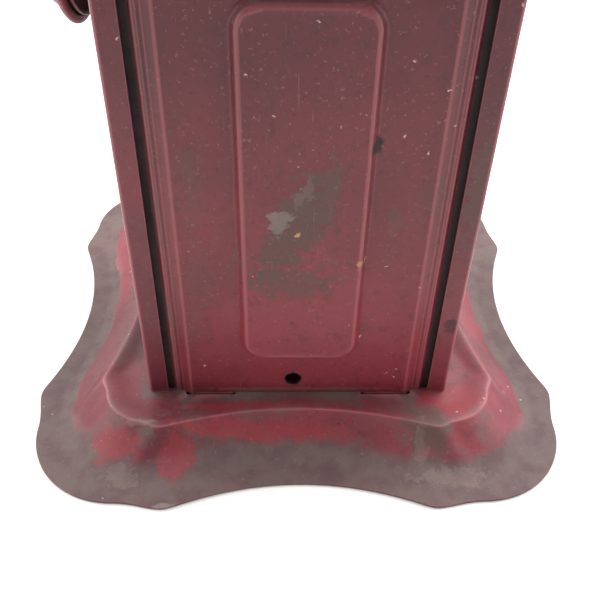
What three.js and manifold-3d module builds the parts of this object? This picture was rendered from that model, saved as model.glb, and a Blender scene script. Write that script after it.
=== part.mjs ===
// Toy magic lantern of lacquered tinplate: a scalloped pressed base, a square lamp house with a
// lift-up door, a round chimney, a slide stage with a draw-tube objective and an oil lamp.
//
// Millimetres, +Z up. Inside the lantern group the lamp house stands on the Z axis, its door faces
// -Y and its lens looks along -X. The group is shifted along X so that the whole object's box is
// centred on the origin, with the foot of the base at z = 0.

import * as THREE from 'three';
import { mergeVertices } from 'three/addons/utils/BufferGeometryUtils.js';
import Module from 'manifold-3d';

const wasm = await Module();
wasm.setup();

// ---------------------------------------------------------------- driving dimensions

const SHEET = 0.6; // tinplate, with its lacquer
const FIT = 0.3; // clearance between two pieces that only touch
const SLIDE_FIT = 0.4; // clearance of a piece that slides in another
const ROUND = 30; // sides of a full turn
const LAMP_ROUND = 22; // sides of the lamp's round pieces
const SMALL_ROUND = 12; // sides of a small full turn
const RIVET_ROUND = 8;

// An outline of the base has two ears on each side and a round lobe on each corner.
const base = {
  half: 60, // reach of the ears
  earOffset: 28.7, // an ear's distance from the middle of its side
  dip: 6.5, // the middle of a side lies this far behind its ears
  lobeInset: 2.1, // a lobe's side lies this far behind the ears
  lobeRadius: 19.4,
  rise: 7.8, // top of the plateau
  rim: 4.5, // flat rim around the slope
};

const plateau = {
  margin: 11.3, // reach of its ears beyond the walls
  earOffset: 30.9,
  dip: 5.5,
  lobeInset: 1.8,
  lobeRadius: 10.6,
};

const house = {
  half: 33.5, // outside of the walls
  corner: 0.5,
  top: 142, // upper edge of the walls
  flange: 4.2, // folded strips on the door side
};

const door = {
  step: 1.5, // field stands this far in front of the margins
  shoulder: 2.35, // gap between a strip beside the door and the stepped field
  fieldCorner: 1.5,
  slope: 1, // run of each pressed wall
  rise: 2, // how far the top edge stands above the walls
  panelMargin: 14.2, // from the field's edge to the raised panel
  panelDepth: 1.6,
  panelLow: 17.8,
  panelTop: 46.6, // from the walls' upper edge to the raised panel
  panelCorner: 5.5,
  panelGap: 8.6, // between the long panel and the short one above it
  upperMargin: 10, // from the walls' upper edge to the short panel
  peepRadius: 1.85,
  peepX: -1.1,
  peepZ: 11.2,
  tongueInner: 14.3, // tongues in the slots at the foot
  tongueOuter: 25.1,
  tongueDrop: 2.2,
  slotFront: 1.8, // the slots show this far in front of the field
};

const wallPanel = { sideMargin: 13.5, low: 24, topMargin: 14, corner: 6, depth: 1.2, slope: 1.2 };
const vents = { count: 6, pitch: 8, radius: 2, z: 15 };
const tabs = { width: 8, offset: 20, drop: 1.8 };

const optics = {
  axisDrop: 42, // optical axis below the walls' upper edge
  condenserRadius: 16.2,
  condenserThick: 7,
  condenserEdge: 2,
  cellWall: 0.8,
  cellFlange: 4,
  drumBridge: 8.83, // half width of the drum's wall above and below the slots
  drumMargin: 3.4, // least distance of the drum's wall from the condenser's edge
  drumFlange: 3.4,
  slotHeight: 35, // height of a glass slide
  slotWidth: 4.3,
  slotStand: 2, // slot's distance from the drum's flange
  springWidth: 2.2,
  springThick: 0.3,
  springReach: 4.6, // how far a spring leans over from the wall
  slotFront: 0.7, // drum beyond the slot, with its front ring
  gateLip: 0.5, // the gate's edge stands inside the sleeve's bore
  collarEdge: 1.6, // the collar's rolled edge stands out from the drum
  coneLength: 4.8,
  sleeveRadius: 15.6,
  sleeveLength: 26.6,
  drawLength: 36,
  drawOut: 20, // part of the draw tube that shows at rest
  lensThick: 5,
  bezelReach: 3,
  bezelWall: 1.5,
  stopRadius: 9.5,
};

const roof = {
  lipDrop: 4, // folded edge outside the walls
  lipGap: 0.5,
  ledge: 2.9, // flat ledge between the walls and the slope
  neckRadius: 19, // outside of the neck that carries the chimney
  rise: 14, // from the walls' upper edge to the foot of the neck
  neckHeight: 11,
};

const chimney = {
  length: 54,
  bead: 0.9,
  flare: 7, // the cowl stands out from the tube
  cowlLap: 7, // the cowl reaches down over the tube
  cowlRise: 6, // from the tube's top to the windows' band
  bandHeight: 15,
  windows: 10,
  windowWidth: 9,
  windowHeight: 9,
  capOverhang: 2.2,
  capRise: 12,
  knob: 3.2,
  baffleGap: 6, // between the baffle's edge and the cowl
};

const lamp = {
  fontRadius: 20,
  stem: 49.9, // from the font's top to the optical axis
  shoulder: 5,
  wall: 0.8,
  neckRadius: 9.2,
  neckHeight: 4,
  handleInset: 6.5, // from the handle's ends to the ends of the font's straight wall
  fillerInset: 4.7, // filler's distance from the font's edge
  fillerRadius: 3.2,
  capRadius: 4.2,
  capHeight: 3.4,
  galleryRadius: 15,
  galleryDrop: 38, // gallery's foot below the optical axis
  galleryHeight: 9,
  wickWidth: 12,
  wickThick: 1.8,
  wickDrop: 12, // wick's end below the optical axis
  wickShow: 2.5, // wick that stands out of its tube
  wickClear: 14, // from the font's foot to the wick's lower end
  tubeWall: 0.6,
  winderDrop: 42.5, // winder below the optical axis
  winderReach: 24.5,
  winderRadius: 0.8,
  sprocketRadius: 2,
  knobRadius: 4.6,
  knobThick: 2.4,
  glassDrop: 32, // glass's foot below the optical axis
  glassLength: 68,
  glassFootRadius: 11.6,
  glassBelly: 14.2,
  glassTopRadius: 9.6,
  glassWall: 1,
};

const mirror = { x: 19.5, radius: 19.5, depth: 5, strap: 7 }; // x: its rim's plane

// ---------------------------------------------------------------- colours and finishes

function finish(color, roughness, metalness, extra = {}) {
  return new THREE.MeshStandardMaterial({ color, roughness, metalness, ...extra });
}

const finishes = {
  redTin: finish(0x6e3036, 0.38, 0.25),
  rawTin: finish(0x9a948c, 0.45, 0.9),
  brass: finish(0xb08a4a, 0.35, 0.95),
  glass: finish(0xdfe8ea, 0.05, 0, { transparent: true, opacity: 0.35 }),
  silver: finish(0xd8d9da, 0.12, 1),
  cotton: finish(0xcfc4ac, 0.95, 0),
  springSteel: finish(0x777a80, 0.4, 0.9),
};

// ---------------------------------------------------------------- solids

/** Joins shared vertices and drops collapsed triangles, so that a geometry is one closed mesh. */
function weld(geometry) {
  const copy = geometry.clone();
  copy.deleteAttribute('normal');
  copy.deleteAttribute('uv');
  const g = mergeVertices(copy, 1e-4);
  const kept = [];
  for (let i = 0; i < g.index.count; i += 3) {
    const [a, b, c] = [g.index.getX(i), g.index.getX(i + 1), g.index.getX(i + 2)];
    if (a !== b && b !== c && c !== a) kept.push(a, b, c);
  }
  g.setIndex(kept);
  return g;
}

function toSolid(geometry) {
  const g = weld(geometry);
  const vertProperties = new Float32Array(g.attributes.position.array);
  const triVerts = new Uint32Array(g.index.array);
  return new wasm.Manifold(new wasm.Mesh({ numProp: 3, vertProperties, triVerts }));
}

function toGeometry(solid) {
  const mesh = solid.getMesh();
  const g = new THREE.BufferGeometry();
  g.setAttribute('position', new THREE.BufferAttribute(new Float32Array(mesh.vertProperties), 3));
  g.setIndex(new THREE.BufferAttribute(new Uint32Array(mesh.triVerts), 1));
  g.computeVertexNormals();
  return g;
}

/** First geometry with every geometry of `added` joined and every one of `removed` cut away. */
function carve(first, added = [], removed = []) {
  let solid = toSolid(first);
  for (const g of added) solid = solid.add(toSolid(g));
  for (const g of removed) solid = solid.subtract(toSolid(g));
  return toGeometry(solid);
}

/** A box between two corners. */
function block(low, high) {
  const size = high.map((v, i) => v - low[i]);
  const g = new THREE.BoxGeometry(...size);
  return g.translate(...high.map((v, i) => (v + low[i]) / 2));
}

/** Turns a shape's extrusion from +Z to run along the wanted axis. */
const TURN = {
  // shape x, y -> the part's x, z, with the extrusion towards -Y
  front: (g) => g.rotateX(Math.PI / 2),
  // shape x, y -> the part's x, z, with the extrusion towards +Y
  back: (g) => g.rotateX(Math.PI / 2).rotateZ(Math.PI),
  // shape x, y -> the part's y, z, with the extrusion towards +X
  right: (g) => g.rotateX(Math.PI / 2).rotateZ(Math.PI / 2),
};

/** A rectangle with round corners, centred on x and between two heights. */
function roundedRect(width, low, high, radius) {
  const w = width / 2;
  const r = Math.min(radius, w - 0.01, (high - low) / 2 - 0.01);
  const s = new THREE.Shape();
  s.moveTo(-w + r, low);
  s.lineTo(w - r, low);
  s.absarc(w - r, low + r, r, -Math.PI / 2, 0);
  s.lineTo(w, high - r);
  s.absarc(w - r, high - r, r, 0, Math.PI / 2);
  s.lineTo(-w + r, high);
  s.absarc(-w + r, high - r, r, Math.PI / 2, Math.PI);
  s.lineTo(-w, low + r);
  s.absarc(-w + r, low + r, r, Math.PI, 1.5 * Math.PI);
  return s;
}

/** A pressed block: full outline at the bottom, its walls sloping in to the top face. */
function pressing(width, low, high, radius, depth, slope, seat = 0.1) {
  const inner = roundedRect(width - 2 * slope, low + slope, high - slope, radius - slope);
  const g = new THREE.ExtrudeGeometry(inner, {
    depth: seat,
    curveSegments: 3,
    bevelEnabled: true,
    bevelSegments: 1,
    bevelThickness: depth,
    bevelSize: slope,
  });
  // keep the upper half only: the lower bevel becomes a plain wall
  const upper = toSolid(g).intersect(toSolid(block([-500, -500, 0], [500, 500, depth + seat])));
  return toGeometry(upper).translate(0, 0, -seat);
}

/** Revolves [radius, height] points around Z; a profile off the axis is closed by itself. */
function revolve(points, sides = ROUND) {
  const closed = points[0][0] > 0;
  const list = points.map(([r, h]) => new THREE.Vector2(r, h));
  if (closed) list.push(list[0].clone());
  const area = list.reduce((sum, p, i) => {
    const q = list[(i + 1) % list.length];
    return sum + p.x * q.y - q.x * p.y;
  }, 0);
  if (area < 0) list.reverse();
  const g = new THREE.LatheGeometry(list, sides);
  return g.rotateX(Math.PI / 2); // lathe axis Y -> Z
}

/** The same, around the optical axis: `points` hold [radius, distance along -X]. */
function revolveOptic(points, sides = ROUND) {
  return revolve(points, sides).rotateY(-Math.PI / 2).translate(0, 0, AXIS_Z);
}

/** A tube wall between two radii and two heights. */
function ring(inner, outer, low, high, sides = ROUND) {
  return revolve([[inner, low], [outer, low], [outer, high], [inner, high]], sides);
}

function opticRing(inner, outer, near, far, sides = ROUND) {
  return revolveOptic([[inner, near], [outer, near], [outer, far], [inner, far]], sides);
}

/** Solid rod along Z. */
function rod(radius, low, high, sides = SMALL_ROUND) {
  const g = new THREE.CylinderGeometry(radius, radius, high - low, sides);
  return g.rotateX(Math.PI / 2).translate(0, 0, (low + high) / 2);
}

/** A strip of sheet that follows a bent centre line in the x-z plane, `width` wide along y. */
function strip(line, thick, width) {
  const normals = line.map((p, i) => {
    const a = line[Math.max(i - 1, 0)];
    const b = line[Math.min(i + 1, line.length - 1)];
    const d = new THREE.Vector2(b[0] - a[0], b[1] - a[1]).normalize();
    return [-d.y * thick / 2, d.x * thick / 2];
  });
  const outline = [
    ...line.map((p, i) => new THREE.Vector2(p[0] + normals[i][0], p[1] + normals[i][1])),
    ...line.map((p, i) => new THREE.Vector2(p[0] - normals[i][0], p[1] - normals[i][1])).reverse(),
  ];
  const g = new THREE.ExtrudeGeometry(new THREE.Shape(outline), { depth: width, bevelEnabled: false });
  return TURN.front(g.translate(0, 0, -width / 2));
}

/**
 * A closed skin through rings of equally many points. The lathe gives the mesh and each of its
 * vertices is then moved to its ring's point. Each ring is { outline: [[x, y], ...], z }.
 * With `capped` the first and the last ring close on the axis.
 */
function loft(rings, capped) {
  const sides = rings[0].outline.length;
  const list = rings.map((r, i) => new THREE.Vector2(10, i));
  if (capped) {
    list.unshift(new THREE.Vector2(0, 0));
    list.push(new THREE.Vector2(0, rings.length));
  } else {
    list.push(list[0].clone());
  }
  const g = new THREE.LatheGeometry(list, sides);
  const pos = g.attributes.position;
  for (let i = 0; i <= sides; i++) {
    for (let j = 0; j < list.length; j++) {
      const v = i * list.length + j;
      const k = capped ? j - 1 : j % rings.length;
      if (capped && (j === 0 || j === list.length - 1)) {
        pos.setXYZ(v, 0, 0, j === 0 ? rings[0].z : rings[rings.length - 1].z);
      } else {
        const [x, y] = rings[k].outline[i % sides];
        pos.setXYZ(v, x, y, rings[k].z);
      }
    }
  }
  return toGeometry(outwards(weld(g)));
}

/** The solid of a welded geometry, turned inside out if its volume is negative. */
function outwards(g) {
  const p = g.attributes.position;
  const idx = g.index.array;
  const [a, b, c] = [new THREE.Vector3(), new THREE.Vector3(), new THREE.Vector3()];
  let volume = 0;
  for (let i = 0; i < idx.length; i += 3) {
    a.fromBufferAttribute(p, idx[i]);
    b.fromBufferAttribute(p, idx[i + 1]);
    c.fromBufferAttribute(p, idx[i + 2]);
    volume += a.dot(b.cross(c));
  }
  if (volume < 0) {
    for (let i = 0; i < idx.length; i += 3) [idx[i], idx[i + 1]] = [idx[i + 1], idx[i]];
  }
  return toSolid(g);
}

// ---------------------------------------------------------------- outlines of the base

const LOBE_STEPS = 4; // points on half a corner lobe
const SIDE_STEPS = 3; // points on half a side

/**
 * One eighth of the scalloped outline, from the middle of a side to the corner's diagonal:
 * a shallow hollow to the ear, then a small hollow into the round corner lobe.
 */
function eighth(ear, { earOffset, dip, lobeInset, lobeRadius }) {
  const lobeCentre = ear - lobeInset - lobeRadius;
  const pts = [];
  for (let i = 0; i < SIDE_STEPS; i++) {
    const t = i / SIDE_STEPS;
    pts.push([ear - dip * (1 - t * t), earOffset * t]);
  }
  pts.push([ear, earOffset]);
  const start = Math.atan2((earOffset - lobeCentre) / 2, lobeRadius);
  for (let i = 0; i <= LOBE_STEPS; i++) {
    const a = start + (Math.PI / 4 - start) * (i / LOBE_STEPS);
    pts.push([lobeCentre + lobeRadius * Math.cos(a), lobeCentre + lobeRadius * Math.sin(a)]);
  }
  return pts;
}

/** All eight copies of an eighth, as one closed ring of points. */
function wholeOutline(points) {
  const quarter = [...points, ...points.slice(1, -1).reverse().map(([x, y]) => [y, x])];
  const out = [];
  for (let turn = 0; turn < 4; turn++) {
    const a = turn * Math.PI / 2;
    const [c, s] = [Math.round(Math.cos(a)), Math.round(Math.sin(a))];
    out.push(...quarter.map(([x, y]) => [c * x - s * y, s * x + c * y]));
  }
  return out;
}

const RIDGE_EAR = house.half + plateau.margin;
const outerOutline = wholeOutline(eighth(base.half, base));
const ridgeOutline = wholeOutline(eighth(RIDGE_EAR, plateau));

function mix(a, b, t) {
  return a.map((p, i) => [p[0] + (b[i][0] - p[0]) * t, p[1] + (b[i][1] - p[1]) * t]);
}

/** A rounded square of the same number of points at every size, so that rings can be joined. */
function softSquare(half, corner) {
  const steps = 6;
  const out = [];
  for (let q = 0; q < 4; q++) {
    for (let i = 0; i < steps; i++) {
      const a = q * Math.PI / 2 + (i / (steps - 1)) * (Math.PI / 2);
      const sx = q === 0 || q === 3 ? 1 : -1;
      const sy = q < 2 ? 1 : -1;
      out.push([sx * (half - corner) + corner * Math.cos(a), sy * (half - corner) + corner * Math.sin(a)]);
    }
    out.push(...sideBetween(q, half, corner));
  }
  return out;
}

/** Points along the straight side after corner q, so that a round ring has points there too. */
function sideBetween(q, half, corner) {
  const run = half - corner;
  return [0.6, 0.2, -0.2, -0.6].map((t) => {
    const [x, y] = [[t * run, half], [-half, t * run], [-t * run, -half], [half, -t * run]][q];
    return [x, y];
  });
}

/** The points of `outline` moved onto a circle, each along its own direction. */
function onCircle(outline, radius) {
  return outline.map(([x, y]) => {
    const d = Math.hypot(x, y);
    return [x / d * radius, y / d * radius];
  });
}

// ---------------------------------------------------------------- places worked out once

const WALL_IN = house.half - SHEET; // inner face of the walls
const FIELD_FRONT = house.half + 0.2; // door's field, a little proud of the flanges
const MARGIN_FRONT = FIELD_FRONT - door.step; // front of the door's margins
const OPENING_HALF = house.half - house.flange; // clear half width between the flanges
const FIELD_WIDTH = 2 * (OPENING_HALF - door.shoulder);
const PANEL_WIDTH = FIELD_WIDTH - 2 * door.panelMargin;
const DOOR_HALF = WALL_IN - SHEET - SLIDE_FIT; // edge of the door in its guides
const DOOR_FOOT = base.rise + FIT;
const DOOR_TOP = house.top + door.rise;
const RAIL_FRONT = MARGIN_FRONT - SHEET - SLIDE_FIT;

const AXIS_Z = house.top - optics.axisDrop;
const DRUM_RADIUS = Math.max(
  Math.hypot(optics.slotHeight / 2, optics.drumBridge),
  optics.condenserRadius + optics.drumMargin,
);
const STAGE_FACE = house.half + SHEET; // front of the drum's flange
const SLOT_NEAR = STAGE_FACE + optics.slotStand;
const SLOT_FAR = SLOT_NEAR + optics.slotWidth;
const DRUM_FRONT = SLOT_FAR + optics.slotFront;
const COLLAR_X = DRUM_FRONT + FIT; // back of the collar's rolled edge
const COLLAR_RADIUS = DRUM_RADIUS + optics.collarEdge;
const CONE_X = COLLAR_X + optics.coneLength;
const SLEEVE_END = COLLAR_X + optics.sleeveLength;
const DRAW_END = SLEEVE_END + optics.drawOut;
const SLEEVE_BORE = optics.sleeveRadius - SHEET;
const GATE_RADIUS = SLEEVE_BORE - optics.gateLip; // round gate in front of the slide
const DRAW_RADIUS = SLEEVE_BORE - FIT;
const DRAW_BORE = DRAW_RADIUS - SHEET;
const LENS_REACH = DRAW_END + optics.bezelReach;
const CONDENSER_X = WALL_IN - 2 * FIT - optics.condenserEdge / 2; // middle of the condenser lens

const NECK_FOOT = house.top + roof.rise;
const CHIMNEY_BORE = roof.neckRadius + SLIDE_FIT;
const CHIMNEY_RADIUS = CHIMNEY_BORE + SHEET;
const CHIMNEY_FOOT = NECK_FOOT; // rests on the top of the roof's slope
const CHIMNEY_TOP = CHIMNEY_FOOT + chimney.length;
const COWL_RADIUS = CHIMNEY_RADIUS + chimney.flare;
const BAND_FOOT = CHIMNEY_TOP + chimney.cowlRise;
const BAND_TOP = BAND_FOOT + chimney.bandHeight;

const FONT_FOOT = base.rise + FIT;
const FONT_TOP = AXIS_Z - lamp.stem;
const NECK_TOP = FONT_TOP + lamp.neckHeight;
const FILLER_RING = lamp.fontRadius - lamp.fillerInset;
const FILLER = [-FILLER_RING * Math.SQRT1_2, -FILLER_RING * Math.SQRT1_2, 0];
const WICK_TOP = AXIS_Z - lamp.wickDrop;
const GALLERY_Z = AXIS_Z - lamp.galleryDrop;
const WINDER_Z = AXIS_Z - lamp.winderDrop;
const WINDER_X = lamp.wickThick / 2 + FIT + lamp.sprocketRadius;
const GLASS_FOOT = AXIS_Z - lamp.glassDrop;

// ---------------------------------------------------------------- base and lamp house

/** Pressed sheet: plateau, hollow slope and flat rim, open below. */
function basePlate() {
  const rimInner = mix(outerOutline, ridgeOutline, base.rim / (base.half - RIDGE_EAR));
  const slope = [];
  const steps = 3;
  for (let i = 0; i <= steps; i++) {
    const t = i / steps;
    slope.push({ outline: mix(ridgeOutline, rimInner, t), z: (1 - t) ** 1.7 });
  }
  const height = (f) => SHEET + f * (base.rise - SHEET);
  const upper = slope.map((r) => ({ outline: r.outline, z: height(r.z) }));
  const lower = slope.map((r) => ({ outline: r.outline, z: height(r.z) - SHEET })).reverse();
  const rings = [
    ...upper,
    { outline: outerOutline, z: SHEET },
    { outline: outerOutline, z: 0 },
    ...lower,
  ];
  const plate = loft(rings, true);
  const slots = [-1, 1].map((side) => doorSlot(side));
  return carve(plate, [], [...slots, ...wallTabs(FIT)]);
}

/** Slot in the plateau for one of the door's two tongues. */
function doorSlot(side) {
  const x = [side * door.tongueInner, side * door.tongueOuter].sort((a, b) => a - b);
  const front = -(FIELD_FRONT + door.slotFront);
  const back = -(MARGIN_FRONT - SHEET - FIT);
  return block([x[0] - FIT, front, base.rise - 2], [x[1] + FIT, back, base.rise + 1]);
}

/** Tabs under the three walls that hold the lamp house in the plateau. */
function wallTabs(grow = 0) {
  const low = base.rise - SHEET - tabs.drop;
  const out = [];
  for (const side of [-1, 1]) {
    const a = side * tabs.offset - tabs.width / 2 - grow;
    const b = side * tabs.offset + tabs.width / 2 + grow;
    const top = base.rise + 0.5;
    out.push(block([a, WALL_IN - grow, low], [b, house.half + grow, top]));
    out.push(block([-house.half - grow, a, low], [-WALL_IN + grow, b, top]));
    out.push(block([WALL_IN - grow, a, low], [house.half + grow, b, top]));
  }
  return out;
}

/** Plan of the folded wrapper: three walls and the two strips beside the door. */
function wrapperPlan() {
  const [o, i, c] = [house.half, WALL_IN, house.corner];
  const f = OPENING_HALF;
  const s = new THREE.Shape();
  s.moveTo(-f, -o);
  s.lineTo(-f, -i);
  s.lineTo(-i, -i);
  s.lineTo(-i, i);
  s.lineTo(i, i);
  s.lineTo(i, -i);
  s.lineTo(f, -i);
  s.lineTo(f, -o);
  s.lineTo(o - c, -o);
  s.lineTo(o, -o + c);
  s.lineTo(o, o - c);
  s.lineTo(o - c, o);
  s.lineTo(-o + c, o);
  s.lineTo(-o, o - c);
  s.lineTo(-o, -o + c);
  s.lineTo(-o + c, -o);
  return s;
}

/** The panel pressed out of one wall, and the hollow behind it. */
function wallRelief(turn, reach) {
  const { low, corner, depth, slope } = wallPanel;
  const width = 2 * house.half - 2 * wallPanel.sideMargin;
  const high = house.top - wallPanel.topMargin;
  const place = (g, d) => turn(g).translate(...reach.map((v) => v * d));
  return {
    outer: place(pressing(width, low, high, corner, depth, slope), house.half),
    hollow: place(
      pressing(width - SHEET, low + SHEET / 2, high - SHEET / 2, corner, depth, slope, 1),
      house.half - SHEET,
    ),
  };
}

function bodyWrap() {
  const walls = new THREE.ExtrudeGeometry(wrapperPlan(), {
    depth: house.top - base.rise,
    bevelEnabled: false,
  });
  walls.translate(0, 0, base.rise);
  const back = wallRelief(TURN.back, [0, 1, 0]);
  const right = wallRelief(TURN.right, [1, 0, 0]);
  const holes = [];
  for (let i = 0; i < vents.count; i++) {
    const x = (i - (vents.count - 1) / 2) * vents.pitch;
    const hole = new THREE.CylinderGeometry(vents.radius, vents.radius, 10, 12);
    holes.push(hole.translate(x, house.half, vents.z));
  }
  const condenser = new THREE.CylinderGeometry(
    optics.condenserRadius + optics.cellWall + FIT,
    optics.condenserRadius + optics.cellWall + FIT, 10, ROUND);
  condenser.rotateZ(Math.PI / 2).translate(-house.half, 0, AXIS_Z);
  return carve(
    walls,
    [back.outer, right.outer, ...wallTabs()],
    [back.hollow, right.hollow, condenser, ...holes],
  );
}

/** L-shaped strip on a wall, behind the door's margin. */
function guideRail(side) {
  const x0 = WALL_IN;
  const s = new THREE.Shape();
  s.moveTo(x0, -RAIL_FRONT);
  s.lineTo(x0, -RAIL_FRONT + 5);
  s.lineTo(x0 - SHEET, -RAIL_FRONT + 5);
  s.lineTo(x0 - SHEET, -RAIL_FRONT + SHEET);
  s.lineTo(x0 - 6, -RAIL_FRONT + SHEET);
  s.lineTo(x0 - 6, -RAIL_FRONT);
  const length = house.top - base.rise - 3;
  const g = new THREE.ExtrudeGeometry(s, { depth: length, bevelEnabled: false });
  g.translate(0, 0, base.rise + 1.5);
  return rightWayOut(g.scale(side, 1, 1));
}

// ---------------------------------------------------------------- door

/** Sheet door with a stepped field, two raised panels, a peep hole and two tongues. */
function doorPanel() {
  const foot = DOOR_FOOT;
  const plate = block([-DOOR_HALF, -MARGIN_FRONT, foot], [DOOR_HALF, -MARGIN_FRONT + SHEET, DOOR_TOP]);
  const forward = (g, y) => TURN.front(g).translate(0, -y, 0);
  const field = (grow, y, seat) => forward(
    pressing(FIELD_WIDTH + grow, foot - 5, DOOR_TOP + 5, door.fieldCorner, door.step, door.slope,
      seat), y);
  const panel = (low, high, grow, y, seat) => forward(
    pressing(PANEL_WIDTH + grow, low - grow / 2, high + grow / 2, door.panelCorner,
      door.panelDepth, door.slope * 1.5, seat), y);
  const lower = [door.panelLow, house.top - door.panelTop];
  const upper = [lower[1] + door.panelGap, house.top - door.upperMargin];
  const band = block([-100, -100, foot], [100, 100, DOOR_TOP]);
  const limit = (g) => toGeometry(toSolid(g).intersect(toSolid(band)));
  const outer = [
    limit(field(0, MARGIN_FRONT, SHEET / 2)),
    panel(...lower, 0, FIELD_FRONT, SHEET / 2),
    panel(...upper, 0, FIELD_FRONT, SHEET / 2),
  ];
  const hollow = [
    field(-SHEET, MARGIN_FRONT - SHEET, 1),
    panel(...lower, -SHEET, FIELD_FRONT - SHEET, 1),
    panel(...upper, -SHEET, FIELD_FRONT - SHEET, 1),
  ];
  const peep = new THREE.CylinderGeometry(door.peepRadius, door.peepRadius, 12, SMALL_ROUND);
  peep.translate(door.peepX, -house.half, door.peepZ);
  const tongues = [-1, 1].map((side) => {
    const x = [side * door.tongueInner, side * door.tongueOuter].sort((a, b) => a - b);
    return block([x[0], -MARGIN_FRONT - door.step, foot - door.tongueDrop],
      [x[1], -MARGIN_FRONT - door.step + SHEET, foot + 0.5]);
  });
  const pull = block([-9, -FIELD_FRONT - 1.6, DOOR_TOP - 1.2], [9, -FIELD_FRONT + SHEET / 2, DOOR_TOP]);
  return carve(plate, [...outer, ...tongues, pull], [...hollow, peep]);
}

// ---------------------------------------------------------------- roof and chimney

/** Square cap with a folded edge, a hollow slope and a round neck. */
function roofCap() {
  const lipIn = house.half + roof.lipGap;
  const lipOut = lipIn + SHEET;
  const square = (half) => softSquare(half, house.corner + 1);
  const top = house.top;
  const shoulder = square(house.half - roof.ledge);
  const neck = onCircle(shoulder, roof.neckRadius);
  const neckIn = onCircle(shoulder, roof.neckRadius - SHEET);
  const slope = (drop) => [0.25, 0.5, 0.75].map((t) => ({
    outline: mix(shoulder, neck, t),
    z: top + SHEET + (roof.rise - SHEET) * t ** 1.5 - drop,
  }));
  const rings = [
    { outline: square(lipOut), z: top - roof.lipDrop },
    { outline: square(lipOut), z: top + SHEET },
    { outline: shoulder, z: top + SHEET },
    ...slope(0),
    { outline: neck, z: NECK_FOOT },
    { outline: neck, z: NECK_FOOT + roof.neckHeight },
    { outline: neckIn, z: NECK_FOOT + roof.neckHeight },
    { outline: neckIn, z: NECK_FOOT - SHEET },
    ...slope(SHEET * 1.2).reverse(),
    { outline: square(house.half - roof.ledge - SHEET), z: top },
    { outline: square(lipIn), z: top },
    { outline: square(lipIn), z: top - roof.lipDrop },
  ];
  const doorway = block(
    [-OPENING_HALF - 1, -house.half - 5, top - roof.lipDrop - 1],
    [OPENING_HALF + 1, -RAIL_FRONT + SHEET, top + 8],
  );
  const marginway = block(
    [-DOOR_HALF - SLIDE_FIT, -WALL_IN, top - 1],
    [DOOR_HALF + SLIDE_FIT, -RAIL_FRONT + SHEET, top + 8],
  );
  return carve(loft(rings, false), [], [doorway, marginway]);
}

function chimneyTube() {
  const b = chimney.bead;
  const [r, o] = [CHIMNEY_BORE, CHIMNEY_RADIUS];
  const foot = CHIMNEY_FOOT;
  return revolve([
    [r, foot], [o + b * 0.7, foot], [o + b, foot + b * 0.6], [o + b * 0.7, foot + b * 1.4],
    [o, foot + b * 1.8], [o, CHIMNEY_TOP], [r, CHIMNEY_TOP],
  ]);
}

/** Flared head with a band of windows, open above. */
function chimneyCowl() {
  const r = CHIMNEY_RADIUS + FIT;
  const R = COWL_RADIUS;
  const t = SHEET;
  const foot = CHIMNEY_TOP - chimney.cowlLap;
  const head = revolve([
    [r, foot], [r + t, foot], [r + t, foot + 5], [R - 1.2, BAND_FOOT - 1.5], [R, BAND_FOOT],
    [R, BAND_TOP], [R - t, BAND_TOP], [R - t, BAND_FOOT], [R - 1.2 - t, BAND_FOOT - 1],
    [r, foot + 5.4],
  ]);
  const mid = (BAND_FOOT + BAND_TOP) / 2 + 0.5;
  const windows = [];
  for (let i = 0; i < chimney.windows; i++) {
    const g = block(
      [R - 5, -chimney.windowWidth / 2, mid - chimney.windowHeight / 2],
      [R + 5, chimney.windowWidth / 2, mid + chimney.windowHeight / 2],
    );
    windows.push(g.rotateZ(i * 2 * Math.PI / chimney.windows));
  }
  return carve(head, [], windows);
}

/** Domed lid on the cowl, with a folded edge and a round knob. */
function cowlCap() {
  const R = COWL_RADIUS + chimney.capOverhang;
  const z = BAND_TOP + FIT;
  const peak = z + chimney.capRise;
  const k = chimney.knob;
  return revolve([
    [0, z + 3], [9, z + 2.4], [R - SHEET - 0.6, z], [R - SHEET - 0.6, z - 2.2], [R, z - 2.2], [R, z + 0.8],
    [R - 4, z + 3], [R * 0.55, z + 6.2], [R * 0.25, peak - 3.2], [k * 0.5, peak - 1.6],
    [k * 0.45, peak - 0.6], [k * 0.85, peak + k * 0.4], [k, peak + k],
    [k * 0.8, peak + k * 1.6], [0, peak + k * 2],
  ]);
}

/** Light trap: a disc on three feet inside the cowl. */
function chimneyBaffle() {
  const z = BAND_FOOT + FIT;
  const R = COWL_RADIUS - chimney.baffleGap;
  const disc = revolve([[0, z + 2], [R * 0.57, z + 1.4], [R, z], [R, z + SHEET],
    [R * 0.57, z + 2.1], [0, z + 2.7]]);
  const reach = COWL_RADIUS - SHEET - FIT;
  const feet = [0, 1, 2].map((i) => block([R * 0.7, -2, z + 0.1], [reach, 2, z + SHEET])
    .rotateZ((i + 0.5) * 2 * Math.PI / 3));
  return carve(disc, feet);
}

// ---------------------------------------------------------------- optics

function condenserCell() {
  const r = optics.condenserRadius + 0.2;
  const o = optics.condenserRadius + optics.cellWall;
  const back = WALL_IN - SHEET;
  const lensBack = house.half - optics.condenserThick - 0.6;
  return revolveOptic([
    [r, lensBack], [o, lensBack], [o, back], [o + optics.cellFlange, back],
    [o + optics.cellFlange, WALL_IN], [o, WALL_IN], [o, house.half], [r - 1.4, house.half],
    [r - 1.4, house.half - SHEET], [r, house.half - SHEET],
  ]);
}

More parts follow.
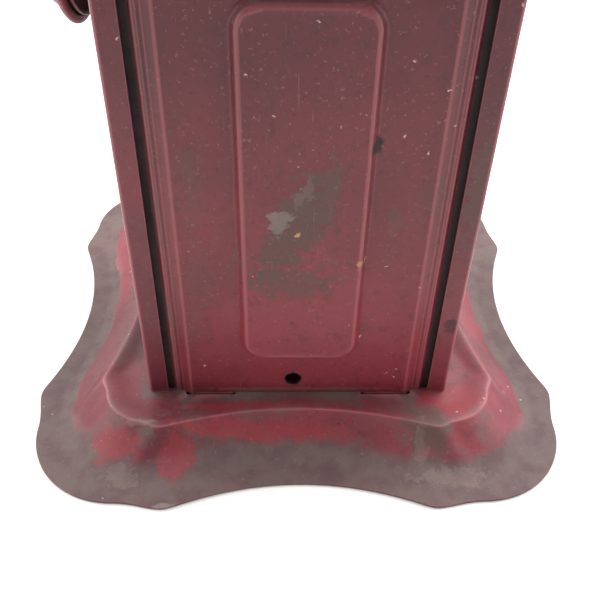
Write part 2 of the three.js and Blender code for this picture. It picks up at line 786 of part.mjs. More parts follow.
/** Lens of two equal curved faces, `edge` thick at its rim. */
function lensBody(radius, thick, edge, middle) {
  const bulge = (thick - edge) / 2;
  const steps = 4;
  const side = [];
  for (let i = 0; i <= steps; i++) {
    const t = i / steps;
    side.push([radius * t, edge / 2 + bulge * (1 - t * t)]);
  }
  const back = side.map(([r, h]) => [r, middle - h]).reverse();
  return revolveOptic([...back.reverse(), ...side.reverse().map(([r, h]) => [r, middle + h])], LAMP_ROUND);
}

function condenserLens() {
  return lensBody(optics.condenserRadius, optics.condenserThick, optics.condenserEdge, CONDENSER_X);
}

/** Split wire that keeps a lens in its cell. */
function retainingWire(radius, wire, x) {
  const path = new THREE.CatmullRomCurve3(
    Array.from({ length: 17 }, (_, i) => {
      const a = 0.25 + (i / 16) * (2 * Math.PI - 0.5);
      return new THREE.Vector3(-x, Math.sin(a) * radius, AXIS_Z + Math.cos(a) * radius);
    }),
  );
  const section = new THREE.Shape();
  section.absarc(0, 0, wire, 0, 2 * Math.PI);
  return new THREE.ExtrudeGeometry(section, {
    steps: 24, curveSegments: 2, bevelEnabled: false, extrudePath: path,
  });
}

/** Short drum on the wall, slotted on both sides for the slide. */
function stageDrum() {
  const R = DRUM_RADIUS;
  const drum = revolveOptic([
    [R - SHEET, house.half], [R + optics.drumFlange, house.half],
    [R + optics.drumFlange, STAGE_FACE], [R, STAGE_FACE], [R, DRUM_FRONT],
    [GATE_RADIUS, DRUM_FRONT], [GATE_RADIUS, DRUM_FRONT - SHEET],
    [R - SHEET, DRUM_FRONT - SHEET],
  ]);
  const h = optics.slotHeight / 2;
  const slot = block([-SLOT_FAR, -50, AXIS_Z - h], [-SLOT_NEAR, 50, AXIS_Z + h]);
  const holes = stageRivetPlaces().map(([y, z]) => rod(1.1, -2, 2, RIVET_ROUND)
    .rotateY(Math.PI / 2).translate(-house.half, y, z));
  return carve(drum, [], [slot, ...holes]);
}

function stageRivetPlaces() {
  const r = DRUM_RADIUS + optics.drumFlange / 2;
  return [45, 135, 225, 315].map((deg) => {
    const a = THREE.MathUtils.degToRad(deg);
    return [r * Math.cos(a), AXIS_Z + r * Math.sin(a)];
  });
}

/** Round-headed rivet through the drum's flange, its head outside. */
function stageRivet([y, z]) {
  const g = revolve([[0, -SHEET + FIT / 2], [0.8, -SHEET + FIT / 2], [0.8, FIT / 3], [1.5, FIT / 3],
    [1.4, 0.6], [0.8, 1], [0, 1.1]], RIVET_ROUND);
  return g.rotateY(-Math.PI / 2).translate(-STAGE_FACE, y, z);
}

/** Springy finger across the slide's upper or lower margin, fixed at its +Y end. */
function slideSpring(side) {
  const edge = optics.slotHeight / 2 - 0.5; // outer edge of the finger
  const z = AXIS_Z + side * (edge - optics.springWidth / 2);
  const x0 = house.half + FIT + optics.springThick / 2;
  const lean = optics.springReach;
  const end = Math.sqrt((DRUM_RADIUS - SHEET - FIT / 2) ** 2 - edge ** 2);
  const line = [
    [end, -x0], [end - 1.2, -x0], [-end + 3.4, -x0 - lean + 0.2], [-end + 1.6, -x0 - lean],
    [-end + 0.4, -x0 - lean + 0.8],
  ];
  // drawn with y across and x up, then laid down so that its width runs along Z
  const g = strip(line, optics.springThick, optics.springWidth);
  g.rotateX(-Math.PI / 2).rotateZ(Math.PI / 2).scale(-1, 1, 1);
  return rightWayOut(g).translate(0, 0, z);
}

/** Undoes the inside-out turn that a mirror gives. */
function rightWayOut(g) {
  return toGeometry(outwards(weld(g)));
}

/** Rolled edge, dished cone and socket for the objective's sleeve. */
function lensCollar() {
  const R = COLLAR_RADIUS;
  const x = COLLAR_X;
  const r = optics.sleeveRadius + FIT;
  return revolveOptic([
    [R - 1.4, x], [R - 0.5, x], [R, x + 0.5], [R, x + 1.1], [R - 0.5, x + 1.6],
    [r + 1.2, CONE_X], [r, CONE_X + 0.4], [r, CONE_X - 0.5],
    [r + 0.6, CONE_X - 0.7], [R - 1.6, x + 0.8],
  ]);
}

function lensSleeve() {
  const [r, o] = [SLEEVE_BORE, optics.sleeveRadius];
  const end = SLEEVE_END;
  return revolveOptic([
    [r, COLLAR_X], [o, COLLAR_X], [o, end - 2], [o + 0.6, end - 1.6],
    [o + 0.8, end - 0.9], [o + 0.6, end - 0.2], [o, end], [r, end],
  ]);
}

function drawTube() {
  const start = DRAW_END - optics.drawLength;
  return opticRing(DRAW_BORE, DRAW_RADIUS, start, DRAW_END);
}

function objectiveLens() {
  return lensBody(DRAW_BORE - 0.1, optics.lensThick, 1.6, DRAW_END - 3.6);
}

/** Turned ring on the end of the draw tube, with a milled edge and an inner stop. */
function objectiveBezel() {
  const o = DRAW_RADIUS + optics.bezelWall;
  const end = LENS_REACH;
  const body = revolveOptic([
    [DRAW_RADIUS + FIT / 2, DRAW_END - 5], [o, DRAW_END - 5], [o, end - 0.8],
    [o - 0.8, end], [optics.stopRadius + 1.5, end], [optics.stopRadius, end - 1.5],
    [optics.stopRadius, DRAW_END + FIT], [DRAW_RADIUS + FIT / 2, DRAW_END + FIT],
  ]);
  return body;
}

// ---------------------------------------------------------------- lamp

/** Hollow tin font with a burner neck and a filler hole. */
function lampFont() {
  const { fontRadius: R, wall: w, neckRadius: n, shoulder: s } = lamp;
  const z0 = FONT_FOOT;
  const inner = n - w;
  const shell = revolve([
    [0, z0], [R, z0], [R, FONT_TOP - s], [R - 1.2, FONT_TOP - s + 2.2], [n + 2, FONT_TOP],
    [n, FONT_TOP + 0.5], [n, NECK_TOP], [inner, NECK_TOP], [inner, FONT_TOP - w],
    [R - 1.8, FONT_TOP - s + 1.4], [R - w, FONT_TOP - s - 0.4], [R - w, z0 + w], [0, z0 + w],
  ], LAMP_ROUND);
  const spout = rod(lamp.fillerRadius + w, FONT_TOP - s, FONT_TOP + 1).translate(...FILLER);
  const bore = rod(lamp.fillerRadius, FONT_TOP - s - 6, FONT_TOP + 4).translate(...FILLER);
  return carve(shell, [spout], [bore]);
}

/** Push-in stopper of the filler. */
function fillerCap() {
  const z = FONT_TOP + 1;
  const r = lamp.fillerRadius - FIT;
  return revolve([
    [0, z - 3], [r, z - 3], [r, z + FIT], [lamp.capRadius, z + FIT], [lamp.capRadius, z + 1.6],
    [1.6, z + 2], [1.2, z + 2.4], [1.8, z + lamp.capHeight], [0, z + lamp.capHeight + 0.5],
  ], SMALL_ROUND).translate(...FILLER);
}

/** Loop of strip on the font's door side, to lift the lamp by. */
function lampHandle() {
  const wallTop = FONT_TOP - lamp.shoulder;
  const mid = (FONT_FOOT + wallTop) / 2;
  const half = (wallTop - FONT_FOOT) / 2 - lamp.handleInset;
  const bend = Math.min(4, half / 2);
  const y0 = -lamp.fontRadius - FIT;
  const s = new THREE.Shape();
  s.moveTo(y0, mid - half);
  s.lineTo(y0, mid + half);
  s.lineTo(y0 - 1, mid + half);
  s.lineTo(y0 - 4.2, mid + half - bend);
  s.lineTo(y0 - 4.2, mid - half + bend);
  s.lineTo(y0 - 1, mid - half);
  const hole = new THREE.Path();
  hole.moveTo(y0 - 0.8, mid - half + bend / 2);
  hole.lineTo(y0 - 3.5, mid - half + bend * 1.15);
  hole.lineTo(y0 - 3.5, mid + half - bend * 1.15);
  hole.lineTo(y0 - 0.8, mid + half - bend / 2);
  s.holes.push(hole);
  const g = new THREE.ExtrudeGeometry(s, { depth: 6, bevelEnabled: false });
  return TURN.right(g).translate(-3, 0, 0);
}

/** Brass burner: cap over the font's neck, flat wick tube and a window for the winder. */
function burner() {
  const n = lamp.neckRadius + FIT;
  const top = NECK_TOP + FIT;
  const cap = revolve([
    [0, top], [n, top], [n, FONT_TOP + 1.4], [n + 1, FONT_TOP + 1.4], [n + 1, top + 1], [4, top + 1.6],
    [0, top + 1.6],
  ], LAMP_ROUND);
  const hw = lamp.wickWidth / 2 + FIT;
  const ht = lamp.wickThick / 2 + FIT;
  const w = lamp.tubeWall;
  const tube = block([-ht - w, -hw - w, top - 8], [ht + w, hw + w, WICK_TOP - lamp.wickShow]);
  const bore = block([-ht, -hw, top - 12], [ht, hw, WICK_TOP]);
  const window = block([0, -3.4, WINDER_Z - 2.6], [ht + w + 3, 3.4, WINDER_Z + 2.6]);
  return carve(cap, [tube], [bore, window]);
}

function wick() {
  const [w, t] = [lamp.wickWidth / 2, lamp.wickThick / 2];
  return block([-t, -w, FONT_FOOT + lamp.wickClear], [t, w, WICK_TOP]);
}

/** Shaft with two toothed wheels that drive the wick. */
function winderShaft() {
  const wheel = new THREE.Shape();
  const teeth = 8;
  for (let i = 0; i < teeth * 2; i++) {
    const a = (i / (teeth * 2)) * 2 * Math.PI;
    const r = i % 2 ? lamp.sprocketRadius : lamp.sprocketRadius * 0.72;
    wheel[i ? 'lineTo' : 'moveTo'](r * Math.cos(a), r * Math.sin(a));
  }
  const wheels = [-2, 2].map((y) => TURN.front(new THREE.ExtrudeGeometry(wheel, {
    depth: 1, bevelEnabled: false,
  })).translate(0, y + 0.5, 0));
  const shaft = TURN.front(rod(lamp.winderRadius, -5, lamp.winderReach, 12));
  return carve(shaft, wheels).translate(WINDER_X, 0, WINDER_Z);
}

/** Milled knob on the shaft's end. */
function winderKnob() {
  const notches = 14;
  const s = new THREE.Shape();
  for (let i = 0; i < notches * 2; i++) {
    const a = (i / (notches * 2)) * 2 * Math.PI;
    const r = lamp.knobRadius - (i % 2 ? 0.5 : 0);
    s[i ? 'lineTo' : 'moveTo'](r * Math.cos(a), r * Math.sin(a));
  }
  const bore = new THREE.Path();
  bore.absarc(0, 0, lamp.winderRadius + 0.05, 0, 2 * Math.PI, true);
  s.holes.push(bore);
  const g = new THREE.ExtrudeGeometry(s, { depth: lamp.knobThick, bevelEnabled: false, curveSegments: 6 });
  return TURN.front(g).translate(WINDER_X, -lamp.winderReach + lamp.knobThick, WINDER_Z);
}

/** Pierced gallery that carries the glass and lets air to the flame. */
function lampGallery() {
  const z = GALLERY_Z;
  const R = lamp.galleryRadius;
  const inner = 6.2;
  const bowl = revolve([
    [inner, z - 1.2], [inner + 2, z - 1.2], [R - 1.5, z + 2.4], [R, z + 4.4], [R, z + lamp.galleryHeight],
    [R - SHEET, z + lamp.galleryHeight], [R - SHEET, z + 4.6], [R - 2, z + 3.2], [inner + 2, z - 0.4],
    [inner, z - 0.4],
  ], LAMP_ROUND);
  const hub = block([-4.2, -8.4, z - 1.2], [4.2, 8.4, z - 0.4]);
  const wickHole = block(
    [-lamp.wickThick / 2 - 2 * FIT - lamp.tubeWall, -lamp.wickWidth / 2 - 2 * FIT - lamp.tubeWall, z - 3],
    [lamp.wickThick / 2 + 2 * FIT + lamp.tubeWall, lamp.wickWidth / 2 + 2 * FIT + lamp.tubeWall, z + 3],
  );
  const seat = ring(lamp.glassFootRadius - 1.6, R - SHEET / 2, GLASS_FOOT - FIT - SHEET,
    GLASS_FOOT - FIT, LAMP_ROUND);
  const holes = Array.from({ length: 6 }, (_, i) => rod(1.8, z - 4, z + 12, 6)
    .translate(11, 0, 0).rotateZ((i + 0.5) * Math.PI / 3));
  const low = block([-40, -40, z - 10], [40, 40, GLASS_FOOT - 1.6]);
  const cut = holes.map((h) => toGeometry(toSolid(h).intersect(toSolid(low))));
  return carve(bowl, [hub, seat], [wickHole, ...cut]);
}

/** Bellied glass chimney. */
function lampGlass() {
  const [z0, z1, w] = [GLASS_FOOT, GLASS_FOOT + lamp.glassLength, lamp.glassWall];
  const outer = [
    [lamp.glassFootRadius, z0], [lamp.glassFootRadius, z0 + 5], [lamp.glassBelly - 0.8, z0 + 12],
    [lamp.glassBelly, z0 + 20], [lamp.glassBelly - 1.2, z0 + 29], [lamp.glassTopRadius + 0.8, z0 + 42],
    [lamp.glassTopRadius, z0 + 54], [lamp.glassTopRadius, z1],
  ];
  const inner = outer.map(([r, z]) => [r - w, z]).reverse();
  return revolve([...outer, ...inner], LAMP_ROUND);
}

/** Silvered dish behind the flame, its hollow towards the condenser. */
function reflector() {
  const { x, radius: R, depth: d } = mirror;
  const rings = 5;
  const face = Array.from({ length: rings + 1 }, (_, i) => {
    const t = i / rings;
    return [R * t, -(x + d * (1 - t * t))];
  });
  const back = face.map(([r, h]) => [r, h - SHEET]).reverse();
  return revolveOptic([...face, ...back], LAMP_ROUND);
}

/** Bent strap from the burner's cap to the reflector's back. */
function reflectorBracket() {
  const zLow = FONT_TOP + 3;
  const near = lamp.neckRadius + FIT + 1 + FIT;
  const back = mirror.x + mirror.depth + SHEET + FIT + SHEET / 2;
  const line = [[near + 0.4, zLow], [near + 4, zLow], [back, zLow + 9], [back, AXIS_Z]];
  return strip(line, SHEET, mirror.strap);
}

// ---------------------------------------------------------------- assembly

const lantern = new THREE.Group();
lantern.position.x = (LENS_REACH - base.half) / 2;

function piece(name, geometry, material) {
  const mesh = new THREE.Mesh(geometry, material);
  mesh.name = name;
  lantern.add(mesh);
}

const { redTin, rawTin, brass, glass, silver, cotton, springSteel } = finishes;

piece('base_plate', basePlate(), redTin);
piece('body_wrap', bodyWrap(), redTin);
piece('guide_rail_left', guideRail(-1), rawTin);
piece('guide_rail_right', guideRail(1), rawTin);
piece('door', doorPanel(), redTin);
piece('roof', roofCap(), redTin);
piece('chimney_tube', chimneyTube(), redTin);
piece('chimney_cowl', chimneyCowl(), redTin);
piece('cowl_cap', cowlCap(), redTin);
piece('chimney_baffle', chimneyBaffle(), rawTin);

piece('condenser_cell', condenserCell(), brass);
piece('condenser_lens', condenserLens(), glass);
piece('condenser_wire', retainingWire(optics.condenserRadius - 0.4, 0.45,
  CONDENSER_X - optics.condenserEdge / 2 - 0.75), springSteel);
piece('stage_drum', stageDrum(), redTin);
stageRivetPlaces().forEach((place, i) => piece(`stage_rivet_${i + 1}`, stageRivet(place), brass));
piece('slide_spring_upper', slideSpring(1), springSteel);
piece('slide_spring_lower', slideSpring(-1), springSteel);
piece('lens_collar', lensCollar(), redTin);
piece('lens_sleeve', lensSleeve(), brass);
piece('draw_tube', drawTube(), brass);
piece('objective_lens', objectiveLens(), glass);
piece('objective_bezel', objectiveBezel(), brass);
piece('objective_wire', retainingWire(DRAW_BORE - 0.55, 0.4, DRAW_END - 5.2), springSteel);

piece('lamp_font', lampFont(), rawTin);
piece('filler_cap', fillerCap(), brass);
piece('lamp_handle', lampHandle(), rawTin);
piece('burner', burner(), brass);
piece('wick', wick(), cotton);
piece('winder_shaft', winderShaft(), brass);
piece('winder_knob', winderKnob(), brass);
piece('lamp_gallery', lampGallery(), brass);
piece('lamp_glass', lampGlass(), glass);
piece('reflector', reflector(), silver);
piece('reflector_bracket', reflectorBracket(), rawTin);

export default lantern;
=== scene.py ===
"""Looks of a toy magic lantern of lacquered tinplate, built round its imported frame.

Sizes in the classes are millimetres on the lantern's own axes: the lamp house stands on the Z
axis, its door faces -Y and its lens looks along -X. Finished meshes are in metres in the row frame.
"""

import logging
import math
from dataclasses import dataclass, field
from enum import Enum
from typing import Sequence

import bpy
import numpy as np
from bpy.types import Material, Mesh, Node, NodeSocket, NodeTree, Object
from mathutils import Matrix, Vector


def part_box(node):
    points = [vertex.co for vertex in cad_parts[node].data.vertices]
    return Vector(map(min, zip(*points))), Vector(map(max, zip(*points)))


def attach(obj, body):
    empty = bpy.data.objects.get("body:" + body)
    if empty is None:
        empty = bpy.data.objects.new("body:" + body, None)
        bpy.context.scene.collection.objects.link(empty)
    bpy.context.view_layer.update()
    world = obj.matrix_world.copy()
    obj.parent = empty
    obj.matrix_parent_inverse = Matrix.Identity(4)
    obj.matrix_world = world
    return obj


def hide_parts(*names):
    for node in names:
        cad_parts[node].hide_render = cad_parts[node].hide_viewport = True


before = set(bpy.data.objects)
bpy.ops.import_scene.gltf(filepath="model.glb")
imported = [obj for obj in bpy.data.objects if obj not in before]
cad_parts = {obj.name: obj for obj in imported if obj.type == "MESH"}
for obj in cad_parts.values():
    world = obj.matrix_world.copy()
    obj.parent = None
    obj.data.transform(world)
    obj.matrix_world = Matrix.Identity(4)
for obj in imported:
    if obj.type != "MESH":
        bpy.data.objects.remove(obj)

logging.basicConfig(level=logging.INFO, format="%(message)s")
log = logging.getLogger("lantern")

MM = 0.001
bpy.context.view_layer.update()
AXIS_X = sum(corner.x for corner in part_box("chimney_tube")) / 2 / MM  # lantern axis in the row frame


# ---------------------------------------------------------------- small tools


def linear(code: str) -> tuple[float, float, float, float]:
    """Linear colour of an sRGB hex code.

    Args:
        code: Six hex digits.

    Returns:
        Red, green, blue and a full alpha.
    """
    parts = [int(code[i:i + 2], 16) / 255 for i in (0, 2, 4)]
    lit = [c / 12.92 if c <= 0.04045 else ((c + 0.055) / 1.055) ** 2.4 for c in parts]
    return (lit[0], lit[1], lit[2], 1.0)


def ease(value: np.ndarray | float) -> np.ndarray:
    """Smooth step of a value from 0 to 1."""
    t = np.clip(value, 0.0, 1.0)
    return t * t * (3 - 2 * t)


def add(tree: NodeTree, kind: str, inputs: dict | None = None, out: str | int | None = None,
        **settings) -> Node | NodeSocket:
    """Adds one node with its settings, values and links.

    Args:
        tree: The node tree to add to.
        kind: The node's type name.
        inputs: Values or output sockets by input name or index.
        out: Name or index of the output that is wanted.
        settings: Attributes of the node.

    Returns:
        The wanted output, or the new node where none is named.
    """
    node = tree.nodes.new(kind)
    for key, value in settings.items():
        setattr(node, key, value)
    for key, value in (inputs or {}).items():
        if isinstance(value, NodeSocket):
            tree.links.new(value, node.inputs[key])
        else:
            node.inputs[key].default_value = value
    return node if out is None else node.outputs[out]


# ---------------------------------------------------------------- meshes


def solid(name: str, points: np.ndarray, faces: list) -> Object:
    """Makes a closed mesh object, its faces outwards.

    Args:
        name: The piece's name.
        points: Points in millimetres on the lantern's axes.
        faces: Corner indices, all turned the same way.

    Returns:
        The object, at the origin, in metres in the row frame.
    """
    placed = (np.asarray(points, float) + np.array([AXIS_X, 0, 0])) * MM
    mesh = bpy.data.meshes.new(name)
    mesh.from_pydata(placed.tolist(), [], faces)
    mesh.update()
    mesh.calc_loop_triangles()
    tri = np.empty(len(mesh.loop_triangles) * 3, np.int64)
    mesh.loop_triangles.foreach_get("vertices", tri)
    a, b, c = placed[tri.reshape(-1, 3)].transpose(1, 0, 2)
    if np.einsum("ij,ij->i", a, np.cross(b, c)).sum() < 0:
        mesh.flip_normals()
    obj = bpy.data.objects.new(name, mesh)
    bpy.context.scene.collection.objects.link(obj)
    return obj


def grid_faces(index: np.ndarray) -> np.ndarray:
    """Four-cornered faces of a grid of point indices."""
    return np.stack([index[:-1, :-1], index[1:, :-1], index[1:, 1:], index[:-1, 1:]], -1).reshape(-1, 4)


def slab(name: str, outer: np.ndarray, inner: np.ndarray) -> Object:
    """Sheet between two skins of the same grid of points.

    Args:
        name: The piece's name.
        outer: Rows x columns x 3 points of one skin.
        inner: The other skin.

    Returns:
        The closed sheet.
    """
    rows, cols = outer.shape[:2]
    a = np.arange(rows * cols).reshape(rows, cols)
    b = a + rows * cols
    sides = [
        np.stack([a[1:, 0], a[:-1, 0], b[:-1, 0], b[1:, 0]], -1),
        np.stack([a[:-1, -1], a[1:, -1], b[1:, -1], b[:-1, -1]], -1),
        np.stack([a[0, :-1], a[0, 1:], b[0, 1:], b[0, :-1]], -1),
        np.stack([a[-1, 1:], a[-1, :-1], b[-1, :-1], b[-1, 1:]], -1),
    ]
    faces = np.concatenate([grid_faces(a), grid_faces(b)[:, ::-1], *sides])
    points = np.concatenate([outer.reshape(-1, 3), inner.reshape(-1, 3)])
    return solid(name, points, faces.tolist())


def shell(name: str, rings: np.ndarray, ends: Sequence[np.ndarray] = ()) -> Object:
    """Closed skin through rings of equally many points.

    Args:
        name: The piece's name.
        rings: Rings x points x 3.
        ends: The two points that close the first and the last ring; without them the last ring
            joins the first one.

    Returns:
        The closed skin.
    """
    count, sides = rings.shape[:2]
    index = np.arange(count * sides).reshape(count, sides)
    wrapped = np.concatenate([index, index[:, :1]], 1)
    if not len(ends):
        wrapped = np.concatenate([wrapped, wrapped[:1]], 0)
    faces = grid_faces(wrapped).tolist()
    points = rings.reshape(-1, 3)
    if len(ends):
        points = np.concatenate([points, np.asarray(ends, float)])
        first, last = count * sides, count * sides + 1
        for j in range(sides):
            k = (j + 1) % sides
            faces.append((first, int(index[0, j]), int(index[0, k])))
            faces.append((last, int(index[-1, k]), int(index[-1, j])))
    return solid(name, points, faces)


def rounded(points: Sequence, radius: float, steps: int = 3, closed: bool = False) -> list:
    """A line with its corners rounded off.

    Args:
        points: Corner points of any dimension.
        radius: Largest distance from a corner at which its rounding starts.
        steps: Parts of each rounding.
        closed: Whether the last point joins the first one.

    Returns:
        The rounded line's points.
    """
    line = [np.asarray(p, float) for p in points]
    out = []
    for i, p in enumerate(line):
        if not closed and i in (0, len(line) - 1):
            out.append(p)
            continue
        a, b = line[i - 1] - p, line[(i + 1) % len(line)] - p
        la, lb = np.linalg.norm(a), np.linalg.norm(b)
        if la < 1e-6 or lb < 1e-6 or np.dot(a, b) < -0.996 * la * lb:
            out.append(p)
            continue
        start = p + a / la * min(radius, 0.45 * la)
        end = p + b / lb * min(radius, 0.45 * lb)
        for t in np.linspace(0, 1, steps + 1):
            out.append((1 - t) ** 2 * start + 2 * t * (1 - t) * p + t * t * end)
    return out


class Axis(Enum):
    """What a turned piece is turned round."""

    UPRIGHT = "the lantern's upright axis"
    BEAM = "the optical axis, distances along -X"


def turned(name: str, profile: Sequence, radius: float = 0.3, axis: Axis = Axis.UPRIGHT,
           height: float = 0.0, sides: int = 96, steps: int = 3) -> Object:
    """Turns a profile round an axis.

    Args:
        name: The piece's name.
        profile: (radius, distance) corners; both ends on the axis, or none.
        radius: Rounding of the corners.
        axis: The axis to turn round.
        height: The beam's height, for Axis.BEAM.
        sides: Sides of a full turn.
        steps: Parts of each corner's rounding.

    Returns:
        The closed turned piece.
    """
    capped = profile[0][0] < 1e-6
    line = np.array(rounded(profile, radius, steps, closed=not capped))
    ends = []
    if capped:
        ends = [line[0], line[-1]]
        line = line[1:-1]
    angle = np.arange(sides) * 2 * math.pi / sides
    r, h = line[:, :1], line[:, 1:]
    if axis is Axis.UPRIGHT:
        rings = np.stack([r * np.cos(angle), r * np.sin(angle), h + 0 * angle], -1)
        tips = [(0, 0, e[1]) for e in ends]
    else:
        rings = np.stack([-h + 0 * angle, r * np.cos(angle), height + r * np.sin(angle)], -1)
        tips = [(-e[1], 0, height) for e in ends]
    return shell(name, rings, tips)


def swept(name: str, path: np.ndarray, side: np.ndarray, section: Sequence) -> Object:
    """Draws a section along a path that lies in one plane.

    Args:
        name: The piece's name.
        path: Points of the path.
        side: Unit normal of the path's plane.
        section: (across, along side) corners of the section.

    Returns:
        The closed strip or wire.
    """
    path = np.asarray(path, float)
    run = np.gradient(path, axis=0)
    run /= np.linalg.norm(run, axis=1, keepdims=True)
    across = np.cross(run, side)
    shape = np.asarray(section, float)
    rings = path[:, None] + across[:, None] * shape[None, :, :1] + side * shape[None, :, 1:]
    return shell(name, rings, [path[0], path[-1]])


def flat_section(thick: float, width: float, corner: float = 0.12) -> list:
    """Section of a strip with eased corners."""
    a, b = thick / 2, width / 2
    return rounded([(-a, -b), (a, -b), (a, b), (-a, b)], corner, 2, closed=True)


def round_section(radius: float, sides: int = 10) -> list:
    """Section of a round wire."""
    turn = [i * 2 * math.pi / sides for i in range(sides)]
    return [(radius * math.cos(a), radius * math.sin(a)) for a in turn]


def block(name: str, low: Sequence, high: Sequence, corner: float = 0.0, steps: int = 2,
          upright: int = 2) -> Object:
    """Box between two corners, its edges along one direction rounded.

    Args:
        name: The piece's name.
        low: Lowest corner.
        high: Highest corner.
        corner: Radius of the rounded edges.
        steps: Parts of each rounding.
        upright: Direction that the rounded edges run along: 0, 1 or 2 for X, Y or Z.

    Returns:
        The closed box.
    """
    u, v = [(1, 2), (2, 0), (0, 1)][upright]
    plan = [(low[u], low[v]), (high[u], low[v]), (high[u], high[v]), (low[u], high[v])]
    if corner:
        plan = rounded(plan, corner, steps, closed=True)
    rings = np.zeros((2, len(plan), 3))
    for i, level in enumerate((low[upright], high[upright])):
        rings[i, :, u] = [p[0] for p in plan]
        rings[i, :, v] = [p[1] for p in plan]
        rings[i, :, upright] = level
    middle = rings.mean(1)
    return shell(name, rings, middle)


def joined(name: str, pieces: Sequence[Object]) -> Object:
    """One object that holds the meshes of several, which are removed."""
    points, faces, count = [], [], 0
    for piece in pieces:
        points.extend([tuple(v.co) for v in piece.data.vertices])
        faces.extend([tuple(i + count for i in p.vertices) for p in piece.data.polygons])
        count = len(points)
        bpy.data.objects.remove(piece)
    mesh = bpy.data.meshes.new(name)
    mesh.from_pydata(points, [], faces)
    mesh.update()
    obj = bpy.data.objects.new(name, mesh)
    bpy.context.scene.collection.objects.link(obj)
    return obj


def settle(obj: Object) -> None:
    """Turns an object's modifiers into its plain mesh."""
    bpy.context.view_layer.update()
    graph = bpy.context.evaluated_depsgraph_get()
    mesh = bpy.data.meshes.new_from_object(obj.evaluated_get(graph))
    obj.modifiers.clear()
    old, obj.data = obj.data, mesh
    bpy.data.meshes.remove(old)


def cut(obj: Object, tools: Sequence[Object]) -> None:
    """Cuts closed meshes out of a piece and removes them."""
    for tool in tools:
        change = obj.modifiers.new("cut", "BOOLEAN")
        change.operation = "DIFFERENCE"
        change.solver = "EXACT"
        change.object = tool
    settle(obj)
    for tool in tools:
        bpy.data.objects.remove(tool)


def places(obj: Object) -> np.ndarray:
    """A mesh's points in millimetres on the lantern's axes."""
    co = np.empty(len(obj.data.vertices) * 3)
    obj.data.vertices.foreach_get("co", co)
    return co.reshape(-1, 3) / MM - np.array([AXIS_X, 0, 0])


def paint(obj: Object, name: str, values: np.ndarray) -> None:
    """Writes one number for each point of a mesh."""
    layer = obj.data.attributes.get(name) or obj.data.attributes.new(name, "FLOAT", "POINT")
    layer.data.foreach_set("value", np.asarray(values, np.float32))


def mark_edges(obj: Object, share: np.ndarray | float = 1.0, gentle: float = 0.25,
               sharp: float = 1.1) -> None:
    """Writes how sharply each point of a mesh stands out, for the wear and the painted highlights on its
    edges.

    Args:
        obj: The piece.
        share: How much of the wear each point shows.
        gentle: Bend, in radians for each millimetre, at which wear starts.
        sharp: Bend at which it is full.
    """
    mesh = obj.data
    count = len(mesh.polygons)
    normal, centre = np.empty(count * 3), np.empty(count * 3)
    mesh.polygons.foreach_get("normal", normal)
    mesh.polygons.foreach_get("center", centre)
    normal, centre = normal.reshape(-1, 3), centre.reshape(-1, 3) / MM
    total = np.empty(count, np.int64)
    mesh.polygons.foreach_get("loop_total", total)
    owner = np.repeat(np.arange(count), total)
    edge = np.empty(len(mesh.loops), np.int64)
    mesh.loops.foreach_get("edge_index", edge)
    order = np.argsort(edge, kind="stable")
    same = np.nonzero(edge[order][1:] == edge[order][:-1])[0]
    one, two = owner[order][same], owner[order][same + 1]
    line = edge[order][same]
    ends = np.empty(len(mesh.edges) * 2, np.int64)
    mesh.edges.foreach_get("vertices", ends)
    ends = ends.reshape(-1, 2)[line]
    angle = np.arccos(np.clip(np.einsum("ij,ij->i", normal[one], normal[two]), -1, 1))
    gap = centre[two] - centre[one]
    width = np.linalg.norm(gap, axis=1) + 1e-6
    stands = np.einsum("ij,ij->i", normal[one], gap) < 0
    bend = np.where(stands & (width < 4), angle / width, 0)
    wear = ease((bend - gentle) / (sharp - gentle))
    wear = np.maximum(wear, np.where(stands & (width < 4), ease((angle - 0.5) / 0.6), 0))
    out = np.zeros(len(mesh.vertices))
    np.maximum.at(out, ends[:, 0], wear)
    np.maximum.at(out, ends[:, 1], wear)
    paint(obj, "edge", out * share)


def hand_over(obj: Object, material: Material, body: str, slot: str,
              *nodes: str, crease: float = 38.0) -> None:
    """Dresses a finished piece and ties it to the frame.

    Args:
        obj: The piece, in place.
        material: Its finish.
        body: The CAD body that it moves with.
        slot: The record's material slot; not used.
        nodes: CAD nodes that it stands for.
        crease: Least angle, in degrees, at which its shading breaks.
    """
    mesh = obj.data
    mesh.materials.clear()
    mesh.materials.append(material)
    mesh.polygons.foreach_set("use_smooth", [True] * len(mesh.polygons))
    mesh.set_sharp_from_angle(angle=math.radians(crease))
    if "edge" not in mesh.attributes:
        mark_edges(obj)
    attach(obj, body)
    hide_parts(*nodes)
    log.info("%s: %d faces, %s, on %s", obj.name, len(mesh.polygons), material.name, body)


def dress_node(name: str, material: Material) -> None:
    """Gives a CAD node that keeps its shape a better finish."""
    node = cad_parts[name]
    node.data.materials.clear()
    node.data.materials.append(material)
    log.info("%s: frame piece, %s", name, material.name)


def graded(low: float, high: float, stops: Sequence[float], fine: float, coarse: float,
           reach: float) -> np.ndarray:
    """Positions between two ends, close together near the stops.

    Args:
        low: First position.
        high: Last position.
        stops: Where the relief changes.
        fine: Spacing near a stop.
        coarse: Spacing elsewhere.
        reach: How near is near.

    Returns:
        The positions.
    """
    out = [low]
    while out[-1] < high - 1e-6:
        x = out[-1]
        near = any(abs(x - s) < reach for s in stops)
        step = fine if near else coarse
        if not near:
            ahead = [s - reach - x for s in stops if s - reach > x + 1e-6]
            step = min([step, *ahead]) if ahead else step
        out.append(min(x + max(step, fine), high))
    if out[-1] - out[-2] < fine / 2:
        out.pop(-2)
    return np.array(out)


